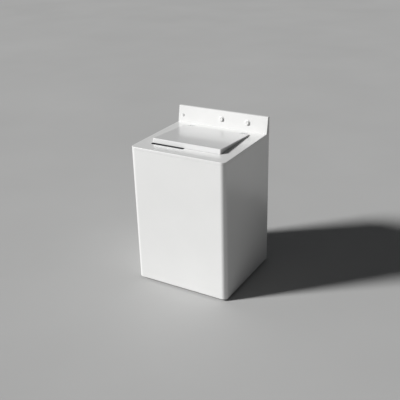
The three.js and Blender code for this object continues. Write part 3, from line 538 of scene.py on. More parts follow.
def lidLoop(inset):
    frontStops = (-190 * mm, -100 * mm, 0.0, 100 * mm, 190 * mm)
    sideStops = (lidLow.y + lid["leanEnds"], lidLow.y + 160 * mm, lidLow.y + 260 * mm)
    return roundedLoop(lidLow.x, lidHigh.x, lidLow.y, lidHigh.y, lid["cornerRadius"], lid["rearCorner"],
                       inset, 8, frontStops, sideStops)


def lidRing(inset, drop, lift=0.0):
    # one ring of the skin: drop below the top surface, or lift above the lower edge when drop is None
    ring = []
    base = lidLow.z
    for p in lidLoop(inset):
        z = base + lift if drop is None else lidTopAt(p.y) - drop
        height = (z - base) / (lidHigh.z - base)
        nearFront = max(0.0, 1 - (p.y - lidLow.y) / lid["leanEnds"])
        ring.append(Vector((p.x, p.y + lid["lean"] * height * nearFront, z)))
    return ring


def makeLid():
    bm = bmesh.new()
    edge, wall = lid["edgeRadius"], lid["wall"]
    rings = [lidRing(wall + 2 * mm, wall), lidRing(wall + 0.3 * mm, wall + 1 * mm), lidRing(wall, None),
             lidRing(0.4 * mm, None), lidRing(0, None, 0.5 * mm)]
    rings += [lidRing(inset, edge - z) for inset, z in arc(edge, 0, edge, range(180, 89, -18))]
    loft(bm, rings, capFirst=True, capLast=True)
    notches = bmesh.new()
    for side in (-1, 1):
        x = side * lid["spacing"] / 2
        addBlock(notches, (x - lid["notch"] / 2, hingeY - 5.2 * mm, deckTop - 5 * mm),
                 (x + lid["notch"] / 2, hingeY + 20 * mm, deckTop + 40 * mm))
    # the lid wears the white enamel darkened as painted shade
    return addPiece("lid_skin", bm, "lid", "white_enamel", ["lid"], lidPaintedShadeEnamel, cutters=[notches])


def makeLidLiner():
    # moulded inner panel whose middle hangs into the opening as a shallow tray
    bm = bmesh.new()
    low, gap = lidLow.z, lid["dishGap"]
    plate = lidLoop(lid["wall"] + 0.8 * mm)
    rings = [atHeight(plate, low + 2.2 * mm), atHeight(plate, low + 0.6 * mm)]
    loft(bm, rings, capFirst=True, capLast=True)
    bottom = deckTop - 7.6 * mm
    section = [(gap, low + 0.8 * mm)] + stepsFrom(gap, bottom, (0.6, 0.8), (2, 0), (4, 0))
    for i in range(9):
        s = i / 8
        soft = s * s * (3 - 2 * s)
        section.append((gap + 6 * mm + lid["dishStep"] * s, bottom + lid["dishRise"] * soft))
    loft(bm, [atHeight(openingLoop(inset), z) for inset, z in section], capFirst=True, capLast=True)
    return addPiece("lid_inner_panel", bm, "lid", "white_plastic", ["lid_liner"])


makeLid()
makeLidLiner()
print("lid made")


# console
console = {"foot": 40 * mm, "top": 20 * mm, "wall": 2.5 * mm, "edgeRadius": 2.0 * mm, "endRadius": 2.0 * mm}
consoleRise = consoleHigh.z - consoleLow.z
lean = math.atan((console["foot"] - console["top"]) / consoleRise)


def facePlace(x, height):
    # a place on the leaning face, with +Z pointing squarely out of it
    y = consoleHigh.y - console["foot"] + height * math.tan(lean)
    turn = Matrix.Rotation(math.pi / 2 - lean, 4, "X")
    return Matrix.Translation((x, y, consoleLow.z + height)) @ turn


def consoleSection(inset):
    # side view with rounded corners, as (y, z) from the front foot up and over to the rear foot
    rear, low, high = consoleHigh.y, consoleLow.z, consoleHigh.z
    radius, tilt = console["edgeRadius"], math.degrees(lean)
    points = [(rear - console["foot"] + math.cos(lean) * inset, low - math.sin(lean) * inset)]
    points += arc(rear - console["top"] + radius * 1.16, high - radius, radius - inset,
                  [180 - tilt - a * (1 - tilt / 90) for a in range(0, 91, 15)])
    points += arc(rear - radius, high - radius, radius - inset, range(90, -1, -15))
    return points + [(rear - inset, low)]


def makeConsole():
    bm = bmesh.new()
    radius = console["endRadius"]
    left = arc(consoleLow.x + radius, radius, radius, (180, 202.5, 225, 247.5, 270))
    middle = [(x, 0.0) for x in (-200 * mm, 0.0, 200 * mm)]
    right = [(-x, inset) for x, inset in reversed(left)]
    loft(bm, [[Vector((x, y, z)) for y, z in consoleSection(inset)] for x, inset in left + middle + right],
         capFirst=True, capLast=True)
    hollow = bmesh.new()
    wall = console["wall"]
    rear, low, high = consoleHigh.y + 5 * mm, consoleLow.z - 5 * mm, consoleHigh.z - wall
    foot = consoleHigh.y - console["foot"] + wall / math.cos(lean)
    top = foot + (high - consoleLow.z) * math.tan(lean)
    side = [(foot, low), (foot, consoleLow.z), (top, high), (rear, high), (rear, low)]
    loft(hollow, [[Vector((x, y, z)) for y, z in side] for x in (consoleLow.x + wall, consoleHigh.x - wall)],
         capFirst=True, capLast=True)
    holes = bmesh.new()
    for node, radius in (("cycle_knob", 4 * mm), ("level_knob", 4 * mm), ("start_button", 7.5 * mm)):
        addTurned(holes, [(radius, -12 * mm), (radius, 12 * mm)], knobPlace(node))
    return addPiece("console_housing", bm, "cabinet", "white_plastic", ["console_shell"],
                    cutters=[hollow, holes])


def knobPlace(node):
    # where a control's axis meets the console face, found from its own CAD box
    middle = middleOf(node)
    outward = Vector((0, -math.cos(lean), math.sin(lean)))
    foot = Vector((middle.x, consoleHigh.y - console["foot"], consoleLow.z))
    distance = (middle - foot).dot(outward)
    onFace = middle - outward * distance
    return facePlace(middle.x, onFace.z - consoleLow.z)


knobs = {"radius": 19 * mm, "gripRadius": 13.4 * mm, "gripTop": 10.6 * mm, "skirt": 2.6 * mm, "flutes": 24,
         "fluteDepth": 0.035, "pointerWidth": 1.6 * mm}


def makeKnob(name, node, body):
    place = knobPlace(node)
    bm = bmesh.new()
    r, g, top, s = knobs["radius"], knobs["gripRadius"], knobs["gripTop"], knobs["skirt"]
    flutes = knobs["flutes"]

    def wobble(a, z):
        if z < s + 1.5 * mm or z > top - 0.8 * mm:
            return 1
        return 1 - knobs["fluteDepth"] * (0.5 + 0.5 * math.cos(a * flutes)) ** 2

    section = stepsFrom(0, 0, (0.2, 0.9)) + stepsFrom(r, 0, (-0.8, 0.9), (-0.2, 1.1), (0, 1.6))
    section += stepsFrom(r, s, (0, -0.8), (-0.3, -0.2), (-1, 0))
    section += stepsFrom(g, s, (2, 0.5), (0.9, 0.9), (0.4, 1.8), (0, 3))
    section += stepsFrom(g, top, (-0.5, -2), (-0.8, -1), (-1.2, -0.4), (-2, -0.05), (-3, 0), (-6, -0.3))
    section += stepsFrom(0, top, (0.2, -0.5))
    addTurned(bm, section, place, flutes * 8, wobble=wobble)
    knob = addPiece(name, bm, body, "white_plastic", [node], angle=50)
    mark = bmesh.new()
    half = knobs["pointerWidth"] / 2
    addBlock(mark, (-half, 4 * mm, top - 1 * mm), (half, g - 2.4 * mm, top + 0.15 * mm), place)
    pointer = addPiece(name + "_pointer", mark, body, "grey_plastic", bevel=0.15 * mm, segments=2)
    return knob, pointer


button = {"radius": 7 * mm, "rise": 4.6 * mm, "dish": 0.5 * mm, "edge": 0.9 * mm}


def makeButton():
    bm = bmesh.new()
    r, top, edge, dish = button["radius"], button["rise"], button["edge"], button["dish"]
    section = stepsFrom(0, 0, (0.2, -6)) + stepsFrom(r, 0, (1.6, -6), (1.6, -4.6), (0, -4.6))
    section += [(r, top - edge - 1 * mm)] + arc(r - edge, top - edge, edge, range(0, 91, 18))
    section += [(r * s, top - dish * (1 - s * s)) for s in (0.7, 0.5, 0.3, 0.05)]
    addTurned(bm, section, knobPlace("start_button"), 48)
    return addPiece("start_button_cap", bm, "start_button", "white_plastic", ["start_button"])


def makeButtonBezel():
    # a grey bezel ring round the button; its grey also serves as painted shade for the button's shaded side
    bm = bmesh.new()
    section = stepsFrom(button["radius"] + 0.6 * mm, 0, (0, 0.05), (0, 1), (0.4, 1.3), (1.2, 1.2), (1.8, 0.6),
                        (1.9, 0.05))
    addTurned(bm, section, knobPlace("start_button"), 48, wrap=True)
    return addPiece("start_button_bezel", bm, "cabinet", "grey_plastic")


makeConsole()
makeKnob("cycle_dial", "cycle_knob", "cycle_knob")
makeKnob("level_dial", "level_knob", "level_knob")
makeButton()
makeButtonBezel()
print("console and controls made")


# tub, basket and agitator
tubLow, tubHigh = corners("outer_tub")
basketLow, basketHigh = corners("basket")
agitatorLow, agitatorHigh = corners("agitator")
capLow, capHigh = corners("agitator_cap")
tubAxis = ((basketLow.x + basketHigh.x) / 2, (basketLow.y + basketHigh.y) / 2)
tubPlace = Matrix.Translation((*tubAxis, 0))
basketRadius = (basketHigh.x - basketLow.x) / 2

basket = {"columns": 60, "rows": 13, "holeRadius": 2.6 * mm, "wall": 1.6 * mm, "ribEvery": 10,
          "ribDepth": 4 * mm, "solidBand": 34 * mm, "floorBend": 22 * mm}


def aroundTub(angle, radius, z):
    return Vector((tubAxis[0] + radius * math.cos(angle), tubAxis[1] + radius * math.sin(angle), z))


def ribSwell(angle):
    # shallow vertical channels pressed towards the clothes
    phase = angle * basket["columns"] / math.tau / basket["ribEvery"]
    distance = abs(phase - round(phase)) * basket["ribEvery"]
    return basket["ribDepth"] * max(0.0, 1 - (distance / 0.9) ** 2) ** 2


def makeBasket():
    bm = bmesh.new()
    columns, rows = basket["columns"], basket["rows"]
    wall, hole = basket["wall"], basket["holeRadius"]
    bottom, top = basketLow.z + 12 * mm, basketHigh.z
    holeBottom, holeTop = bottom + 14 * mm, top - basket["solidBand"]
    zLevels = [holeBottom + (holeTop - holeBottom) * i / (2 * rows) for i in range(2 * rows + 1)]
    zLevels = [bottom, *zLevels, top]
    shared = {}

    def place(angle, z, depth):
        swell = ribSwell(angle) * min(1, (top - z) / (30 * mm), (z - bottom) / (12 * mm))
        return aroundTub(angle, basketRadius - depth - swell, z)

    def gridVert(column, level, depth):
        key = (column % (2 * columns), level, depth)
        if key not in shared:
            shared[key] = bm.verts.new(place(math.tau * column / (2 * columns), zLevels[level], depth))
        return shared[key]

    def quad(a, b, c, d, outside):
        bm.faces.new((a, b, c, d) if outside else (d, c, b, a))

    for column in range(columns):
        ribbed = column % basket["ribEvery"] in (0, basket["ribEvery"] - 1)
        c = 2 * column
        for depth in (0.0, wall):
            outside = depth == 0.0
            for level in (0, 2 * rows + 1):
                for k in (0, 1):
                    quad(gridVert(c + k, level, depth), gridVert(c + k + 1, level, depth),
                         gridVert(c + k + 1, level + 1, depth), gridVert(c + k, level + 1, depth), outside)
        for row in range(rows):
            level = 1 + 2 * row
            around = [(0, 0), (1, 0), (2, 0), (2, 1), (2, 2), (1, 2), (0, 2), (0, 1)]
            rings = []
            for depth in (0.0, wall):
                outside = depth == 0.0
                edge = [gridVert(c + dc, level + dz, depth) for dc, dz in around]
                if ribbed:
                    middle = gridVert(c + 1, level + 1, depth)
                    quad(edge[0], edge[1], middle, edge[7], outside)
                    quad(edge[1], edge[2], edge[3], middle, outside)
                    quad(middle, edge[3], edge[4], edge[5], outside)
                    quad(edge[7], middle, edge[5], edge[6], outside)
                    continue
                ring = []
                angle = math.tau * (c + 1) / (2 * columns)
                z = zLevels[level + 1]
                for k in range(8):
                    turn = math.radians(225 + 45 * k)
                    shift = hole * math.cos(turn) / basketRadius
                    ring.append(bm.verts.new(place(angle + shift, z + hole * math.sin(turn), depth)))
                for k in range(8):
                    j = (k + 1) % 8
                    quad(edge[k], edge[j], ring[j], ring[k], outside)
                rings.append(ring)
            if rings:
                for k in range(8):
                    j = (k + 1) % 8
                    bm.faces.new((rings[0][k], rings[0][j], rings[1][j], rings[1][k]))
    last = len(zLevels) - 1
    for column in range(2 * columns):
        for level, outside in ((0, True), (last, False)):
            quad(gridVert(column, level, wall), gridVert(column + 1, level, wall),
                 gridVert(column + 1, level, 0.0), gridVert(column, level, 0.0), outside)
    inner = basketRadius - wall
    low = basketLow.z
    bend = basket["floorBend"]
    section = stepsFrom(0, low, (24, 3.5), (24, 0.4), (92, 0), (150, 3)) + stepsFrom(inner, low, (-24, 1))
    section += arc(inner - bend, low + 1 * mm + bend, bend, range(-75, 1, 15))
    section += stepsFrom(inner, low, (-1.4, 24))
    section += arc(inner - 1.4 * mm - bend, low + 2.4 * mm + bend, bend, range(-15, -76, -15))
    section += stepsFrom(inner, low, (-24, 2.6)) + stepsFrom(0, low, (150, 4.6), (92, 1.8))
    addTurned(bm, section, tubPlace, 96, wrap=True)
    return addPiece("wash_basket", bm, "basket", "white_enamel", ["basket"], porcelain, angle=40)


def makeBalanceRing():
    low, high = corners("balance_ring")
    outer = (high.x - low.x) / 2
    inner = outer - 30 * mm
    bottom, top = low.z, high.z
    section = stepsFrom(inner, bottom, (0, 0), (-1, 6)) + stepsFrom(inner, top, (0, -9))
    section += arc(inner + 7 * mm, top - 7 * mm, 7 * mm, (180, 158, 135, 112, 90))
    section += stepsFrom(outer, top, (-13, 0), (-12, -1.6), (-10, -1.6), (-9, 0))
    section += arc(outer - 4 * mm, top - 4 * mm, 4 * mm, (90, 60, 30, 0))
    section += stepsFrom(outer, bottom, (0, 3), (-1, 0))
    bm = bmesh.new()
    addTurned(bm, section, tubPlace, 128, wrap=True)
    return addPiece("balance_ring_moulding", bm, "basket", "white_plastic", ["balance_ring"], agitatorPlastic)


def makeTubRing():
    low, high = corners("tub_ring")
    outer = (high.x - low.x) / 2
    inner = high.x - 48 * mm
    top, rim = high.z, tubHigh.z
    section = [(inner, rim + 0.3 * mm), (inner, top - 6 * mm)]
    section += arc(inner + 6 * mm, top - 6 * mm, 6 * mm, (160, 135, 110, 90))
    section += stepsFrom(inner, top, (12, 0), (22, -5)) + stepsFrom(outer, top, (-8, -9), (-1, -12), (0, -15))
    section += stepsFrom(outer, low.z, (0, 0), (-2.6, 0)) + stepsFrom(outer, rim, (-2.6, 0.3))
    bm = bmesh.new()
    addTurned(bm, section, tubPlace, 128, wrap=True)
    return addPiece("tub_cover_ring", bm, "tub", "white_plastic", ["tub_ring"])


agitator = {"vanes": 4, "ribs": 12, "twist": 0.42, "augerTurns": 2.4, "augerReach": 24 * mm, "augerLow": 0.56,
            "augerHigh": 0.775, "sides": 96, "vaneFoot": 9 * mm, "vaneRise": 176 * mm, "ribFoot": 13 * mm,
            "ribRise": 42 * mm,
            # the column's outline, as millimetres above its foot and radius
            "column": ((0, 150), (6, 149), (12, 143), (18, 126), (26, 108), (38, 92), (56, 79), (82, 70),
                       (140, 65), (200, 62), (260, 60), (340, 57), (420, 54), (470, 52))}


def columnRadius(z):
    rise = (z - agitatorLow.z) / mm
    stops = agitator["column"]
    for (a, ra), (b, rb) in zip(stops, stops[1:]):
        if rise <= b:
            return (ra + (rb - ra) * (rise - a) / (b - a)) * mm
    return stops[-1][1] * mm


def makeAgitator():
    bm = bmesh.new()
    low, high = agitatorLow.z, agitatorHigh.z
    heights = [0, 3, 6, 9, 12, 15, 18, 22, 26, 32, 38, 47, 56, 68, 82, 110, 140, 170, 200, 230, 260, 300,
               340, 380, 420, 455, 462]
    outside = [(columnRadius(low + h * mm), low + h * mm) for h in heights if low + h * mm <= high]
    inside = stepsFrom(outside[-1][0], high, (-1.2, 0), (-4, -1))
    for h in (400, 300, 200, 110, 56, 32, 22):
        inside += stepsFrom(columnRadius(low + h * mm), low + h * mm, (-4, -2))
    inside += [(138 * mm, low + 10 * mm), (145 * mm, low)]
    addTurned(bm, outside + inside, tubPlace, agitator["sides"], wrap=True)

    def vaneOuter(t):
        # broad paddle at the foot that sweeps in to the column
        return (60 + 82 * (1 - t) ** 0.6 * (1 - 0.25 * t)) * mm

    steps, across = 18, 8
    for v in range(agitator["vanes"]):
        start = math.tau * v / agitator["vanes"]
        rings = []
        for i in range(steps + 1):
            t = i / steps
            z = low + agitator["vaneFoot"] + t * agitator["vaneRise"]
            twist = start + agitator["twist"] * t * t
            outer = max(vaneOuter(t), columnRadius(z) - 1 * mm)
            innerR = columnRadius(z) - 5 * mm if t > 0.12 else 70 * mm
            ring = []
            for side in (1, -1):
                for k in range(across + 1):
                    s = k / across if side > 0 else 1 - k / across
                    r = innerR + (outer - innerR) * s
                    thick = (5.2 - 2.4 * s) * mm * (0.35 if s == 1 else 1)
                    ring.append(aroundTub(twist + side * thick / r, r, z))
            rings.append(ring)
        loft(bm, rings, capFirst=True, capLast=True)
    for v in range(agitator["ribs"]):
        angle = math.tau * (v + 0.5) / agitator["ribs"]
        rings = []
        for i in range(9):
            t = i / 8
            z = low + agitator["ribFoot"] + t * agitator["ribRise"]
            r = columnRadius(z)
            swell = math.sin(math.pi * min(1, t + 0.08)) * 3.4 * mm
            corner, foot = 1.6 * mm / r, 3.2 * mm / r
            plan = ((-foot, -1.5 * mm), (-corner, swell), (corner, swell), (foot, -1.5 * mm))
            rings.append([aroundTub(angle + shift, r + out, z) for shift, out in plan])
        loft(bm, rings, capFirst=True, capLast=True)
    turnSteps = 120
    rings = []
    for i in range(turnSteps + 1):
        t = i / turnSteps
        z = agitator["augerLow"] + (agitator["augerHigh"] - agitator["augerLow"]) * t
        angle = math.tau * agitator["augerTurns"] * t
        fade = min(1, t / 0.12, (1 - t) / 0.12)
        reach = agitator["augerReach"] * fade * (2 - fade)
        r = columnRadius(z) - 2 * mm
        half = 2.2 * mm
        edge, tip = r + reach, z + reach * 0.12
        rings.append([aroundTub(angle, radius, height) for radius, height in
                      ((r, z - half), (edge + 1 * mm, tip - half * 0.8), (edge + 2.4 * mm, tip),
                       (edge + 1 * mm, tip + half * 0.8), (r, z + half))])
    loft(bm, rings, capFirst=True, capLast=True)
    return addPiece("agitator_moulding", bm, "agitator", "white_plastic", ["agitator"], agitatorPlastic,
                    angle=38)


def makeAgitatorCap():
    bm = bmesh.new()
    base, top = capLow.z, capHigh.z
    radius = (capHigh.x - capLow.x) / 2

    def wobble(a, z):
        return 1 - 0.03 * (0.5 + 0.5 * math.cos(a * 18)) ** 2 if base + 2 * mm < z < base + 9 * mm else 1

    section = stepsFrom(0, base, (0.2, 0))
    section += stepsFrom(radius, base, (-0.6, 0), (0, 0.8), (0, 1.8), (0, 2.6), (-0.3, 5), (-0.8, 8.4),
                         (-2, 11), (-6, 15), (-13, 19), (-22, 21.5), (-26, 20.8), (-28, 19.4), (-36, 20.6))
    section += stepsFrom(0, top, (0.2, -2.6))
    addTurned(bm, section, tubPlace, 144, wobble=wobble)
    return addPiece("agitator_cap_moulding", bm, "agitator", "grey_plastic", ["agitator_cap"], angle=45)


tub = {"bands": (0.25, 0.5, 0.75), "floorRibs": 12, "armGap": 0.4 * mm, "armRise": 22 * mm,
       "armRoot": 40 * mm, "armHalf": 15 * mm, "armWall": 3 * mm}


def makeTub():
    bm = bmesh.new()
    rod = middleOf("suspension_rod_front_right")
    radius = tubHigh.y - tubAxis[1]
    bottom, top = tubLow.z + 8 * mm, tubHigh.z
    section = stepsFrom(0, tubLow.z, (34, 0), (46, 0)) + stepsFrom(0, bottom, (47, -1), (49, 0), (120, 0))
    section += stepsFrom(radius, bottom, (-18, 0))
    section += arc(radius - 16 * mm, bottom + 16 * mm, 16 * mm, range(-75, 1, 15))
    for band in tub["bands"]:
        section += stepsFrom(radius, bottom + (top - bottom) * band, (0, -5), (1.6, -3), (1.6, 3), (0, 5))
    section += stepsFrom(radius, top, (0, -1), (-0.6, 0), (-3, 0))
    section += stepsFrom(radius, bottom, (-3, 20), (-17, 5)) + stepsFrom(0, bottom, (34, 5))
    addTurned(bm, section, tubPlace, 128, wrap=True)
    springTop = corners("suspension_spring_front_left")[1].z
    armLow, armHigh = springTop + tub["armGap"], springTop + tub["armRise"]
    half = tub["armHalf"]
    inner = half - tub["armWall"]
    for sx in (-1, 1):
        for sy in (-1, 1):
            reach = Vector((sx * rod.x, sy * (tubAxis[1] - rod.y)))
            turn = tubPlace @ Matrix.Rotation(math.atan2(reach.y, reach.x), 4, "Z")
            length = reach.length
            for side in (-1, 1):
                rings = []
                for x, low in ((radius - 1 * mm, armLow - tub["armRoot"]), (length - 24 * mm, armLow)):
                    plan = ((inner, low), (half, low), (half, armHigh), (inner, armHigh))
                    rings.append([turn @ Vector((x, side * y, z)) for y, z in plan])
                loft(bm, rings, capFirst=True, capLast=True)
            addBlock(bm, (radius - 1 * mm, -half, armHigh - 4 * mm), (length - 20 * mm, half, armHigh), turn)
            collar = stepsFrom(0, armLow, (4.6, 0), (18, 0), (19, 1))
            collar += stepsFrom(0, armHigh, (19, -1), (18, 0), (4.6, 0))
            addTurned(bm, collar, tubPlace @ Matrix.Translation((*reach, 0)), 40, wrap=True)
    for k in range(tub["floorRibs"]):
        turn = tubPlace @ Matrix.Rotation(math.tau * (k + 0.5) / tub["floorRibs"], 4, "Z")
        addBlock(bm, (50 * mm, -1.5 * mm, bottom - 7 * mm), (radius - 30 * mm, 1.5 * mm, bottom + 1 * mm),
                 turn)
    sump = corners("pump_hose")
    pipe = stepsFrom(0, bottom, (6.5, -22), (8, -22), (8.5, -20), (7.6, -16), (8.4, -6), (12, 1), (6.5, 1))
    addTurned(bm, pipe, Matrix.Translation((sump[0].x + 13 * mm, sump[1].y - 13 * mm, 0)), wrap=True)
    return addPiece("outer_tub_moulding", bm, "tub", "white_plastic", ["outer_tub"], angle=38)


makeBasket()
makeBalanceRing()
makeTubRing()
makeAgitator()
makeAgitatorCap()
makeTub()
print("tub, basket and agitator made")


# suspension and feet
spring = {"turns": 8, "wire": 2.0 * mm, "stepsPerTurn": 22, "radius": 14 * mm, "travel": 20 * mm}


def makeSprings():
    for corner in cornerNames:
        low, high = corners("suspension_spring_" + corner)
        middle = middleOf("suspension_rod_" + corner)
        bottom, top = low.z + spring["wire"], high.z - spring["wire"]
        points = []
        count = spring["turns"] * spring["stepsPerTurn"]
        for i in range(count + 1):
            t = i / count
            # the end turns lie flat, as ground spring ends do
            climb = min(max((t - 0.1) / 0.8, 0), 1)
            a = math.tau * spring["turns"] * t
            rise = 0.03 * min(t / 0.1, 1) + 0.94 * climb + 0.03 * max((t - 0.9) / 0.1, 0)
            points.append(Vector((middle.x + spring["radius"] * math.cos(a),
                                  middle.y + spring["radius"] * math.sin(a), bottom + (top - bottom) * rise)))
        bm = bmesh.new()
        addTube(bm, points, spring["wire"], 8)
        piece = addPiece("spring_coil_" + corner, bm, "cabinet", "spring_steel",
                         ["suspension_spring_" + corner], angle=60)
        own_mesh(piece)


foot = {"padRadius": 19 * mm, "padHeight": 8 * mm, "stud": 5 * mm, "pitch": 1.5 * mm, "nut": 9 * mm,
        "nutTop": 14 * mm}


def makeFeet():
    r, h, nut, nutTop = foot["padRadius"], foot["padHeight"], foot["nut"], foot["nutTop"]
    for corner in cornerNames:
        node = "leveling_foot_" + corner
        middle, top = middleOf(node), corners(node)[1].z
        place = Matrix.Translation((middle.x, middle.y, 0))
        pad = bmesh.new()
        section = [(0.2 * mm, 0)] + stepsFrom(r, 0, (-6, 0), (-5.4, 0.6), (-4.6, 0.6), (-4, 0), (-1.2, 0))
        section += stepsFrom(r, 0, (0, 1.2), (0, 3), (-0.8, 5))
        section += stepsFrom(r, h, (-3, -0.6), (-5, 0)) + [(0.2 * mm, h)]
        addTurned(pad, section, place, 48)
        addPiece("foot_pad_" + corner, pad, "foot_" + corner, "black_rubber", [node])
        stud = bmesh.new()
        sides = [(nut * 0.92, h), (nut, h + 0.7 * mm), (nut, nutTop - 0.7 * mm), (nut * 0.92, nutTop)]
        addTurned(stud, sides, place, 6)
        thread = []
        z = nutTop
        while z < top - 1.5 * mm:
            thread += [(foot["stud"] - 0.5 * mm, z), (foot["stud"], z + foot["pitch"] / 2)]
            z += foot["pitch"]
        thread += [(foot["stud"] - 0.9 * mm, top)]
        addTurned(stud, thread, place, 24)
        addPiece("foot_stud_" + corner, stud, "foot_" + corner, "galvanised", angle=25)


makeSprings()
makeFeet()
print("springs and feet made")


# back of the cabinet
frameLow, frameHigh = corners("rear_frame")
panelLow, panelHigh = corners("rear_panel")
plateLow, plateHigh = corners("rear_valve_plate")
rear = {"rim": 26 * mm, "sheet": 1.5 * mm, "louvres": 7, "louvreLength": 150 * mm, "louvrePitch": 16 * mm,
        "ribs": (-170 * mm, 0.0, 170 * mm), "ribRise": 5 * mm, "screwEvery": 150 * mm, "screw": 3.4 * mm}
ports = {"threadPitch": 2.3 * mm, "threadDepth": 0.8 * mm, "portRadius": 12 * mm, "boreRadius": 9 * mm,
         "coilRadius": 14 * mm, "drainRadius": 15 * mm, "gap": 0.5 * mm, "glandHole": 9.4 * mm,
         "inset": 18 * mm}


def addScrew(bm, place, radius):
    # pan head on a washer, its axis along the given frame's +Z
    head = [(radius, 0), (radius, 0.7 * mm), (radius * 0.86, 1.6 * mm), (radius * 0.55, 2.2 * mm)]
    washer = [(radius * 1.5, 0), (radius * 1.5, 0.5 * mm), (radius * 1.3, 0.8 * mm), (radius, 0.8 * mm)]
    addTurned(bm, head + [(0.1 * mm, 2.4 * mm)], place, 20)
    addTurned(bm, washer, place, 20)


def facingRear(x, y, z):
    return Matrix.Translation((x, y, z)) @ Matrix.Rotation(-math.pi / 2, 4, "X")


def inletPorts():
    low, high = corners("inlet_valve")
    return [(low.x + ports["inset"], panelHigh.z), (high.x - ports["inset"], panelHigh.z)]


def portCuts():
    cuts = bmesh.new()
    y = panelLow.y - 5 * mm
    holes = [(x, z, ports["portRadius"] + ports["gap"]) for x, z in inletPorts()]
    drain, gland = middleOf("drain_port"), middleOf("cord_gland")
    holes += [(drain.x, drain.z, ports["drainRadius"] + ports["gap"]), (gland.x, gland.z, ports["glandHole"])]
    for x, z, radius in holes:
        addTurned(cuts, [(radius, 0), (radius, 12 * mm)], facingRear(x, y, z))
    return cuts


def makeRearFrame():
    bm = bmesh.new()
    x0, x1, z0 = frameLow.x, frameHigh.x, frameLow.z
    z1 = plateHigh.z - 34.6 * mm
    rim, t, inset, field = frameHigh.y, rear["sheet"], rear["rim"], panelHigh.y

    def ring(shrink, y):
        loop = roundedLoop(x0 + shrink, x1 - shrink, z0 + shrink, z1 - shrink, 2 * mm, 2 * mm, 0, 4)
        return [Vector((p.x, y, p.y)) for p in loop]

    section = [(0, rim - t), (0, rim)] + stepsFrom(inset, rim, (-2.5, 0), (-0.8, -0.7), (0, -2.5))
    section += [(inset, field - t), (inset - t, field - t), (inset - t, rim - 3 * mm)]
    section += [(inset - 3 * mm, rim - t)]
    loft(bm, [ring(shrink, y) for shrink, y in section], wrapRings=True)
    reach = wrapHigh.x - cabinet["flange"] - 2 * mm
    addBlock(bm, (-reach, rim - t, z1 - 4 * mm), (reach, rim - 0.1 * mm, plateHigh.z))
    return addPiece("rear_frame_pressing", bm, "cabinet", "galvanised", ["rear_frame"])


def addSwell(bm, path, half, rise, lean=0.0):
    # a raised pressing along a path on the panel, closed underneath
    crown = ((-1, 0), (-0.62, 0.55), (-0.2 - lean, 0.97), (0.2 - lean * 1.6, 1), (0.62, 0.5), (1, 0))
    count = len(path)
    rings = []
    for i, (x, z) in enumerate(path):
        after, before = path[min(i + 1, count - 1)], path[max(i - 1, 0)]
        along = Vector((after[0] - before[0], after[1] - before[1])).normalized()
        side = Vector((-along.y, along.x))
        s = i / (count - 1)
        height = rise * min(1, s * 10, (1 - s) * 10) ** 0.5
        ring = []
        for across, level in crown:
            spot = Vector((x, z)) + side * across * half
            ring.append(Vector((spot.x, panelHigh.y - 0.3 * mm + level * height, spot.y)))
        rings.append(ring)
    loft(bm, rings, capFirst=True, capLast=True)


def makeRearPanel():
    sheet = bmesh.new()
    addBlock(sheet, panelLow, panelHigh)
    addPiece("rear_panel_sheet", sheet, "cabinet", "galvanised", ["rear_panel"], cutters=[portCuts()])
    pressings = bmesh.new()
    low, high = panelLow.z + 60 * mm, panelHigh.z - 210 * mm
    for x in rear["ribs"]:
        addSwell(pressings, [(x, low + (high - low) * i / 30) for i in range(31)], 13 * mm, rear["ribRise"])
    for k in range(rear["louvres"]):
        z = panelHigh.z - 70 * mm - k * rear["louvrePitch"]
        half = rear["louvreLength"] / 2
        addSwell(pressings, [(-half + 2 * half * i / 20, z) for i in range(21)], 5.5 * mm, 6 * mm, -0.5)
    addPiece("rear_panel_pressings", pressings, "cabinet", "galvanised", angle=45)
    plate = bmesh.new()
    addBlock(plate, plateLow, (plateHigh.x, plateLow.y + rear["sheet"], plateHigh.z - 60 * mm))
    addPiece("rear_valve_sheet", plate, "cabinet", "galvanised", ["rear_valve_plate"], cutters=[portCuts()])


def makeRearScrews():
    bm = bmesh.new()
    z1 = plateHigh.z - 46 * mm
    seat = frameHigh.y - 0.7 * mm
    count = int((z1 - frameLow.z - 20 * mm) / rear["screwEvery"])
    for i in range(count + 1):
        z = frameLow.z + 12 * mm + (z1 - frameLow.z - 24 * mm) * i / count
        for x in (frameLow.x + 10 * mm, frameHigh.x - 10 * mm):
            addScrew(bm, facingRear(x, seat, z), rear["screw"])
    for i in range(5):
        x = frameLow.x + 70 * mm + (frameHigh.x - frameLow.x - 140 * mm) * i / 4
        addScrew(bm, facingRear(x, seat, frameLow.z + 12 * mm), rear["screw"])
        for z in (panelHigh.z - 12 * mm, plateLow.z + 30 * mm):
            addScrew(bm, facingRear(x * 0.98, panelHigh.y - 0.1 * mm, z), 3 * mm)
    return addPiece("rear_screws", bm, "cabinet", "spring_steel", angle=40)


vents = {"eachSide": 4, "rows": 2, "pitch": 30 * mm, "rise": 66 * mm, "rowPitch": 11 * mm, "half": 9 * mm,
         "radius": 2 * mm}


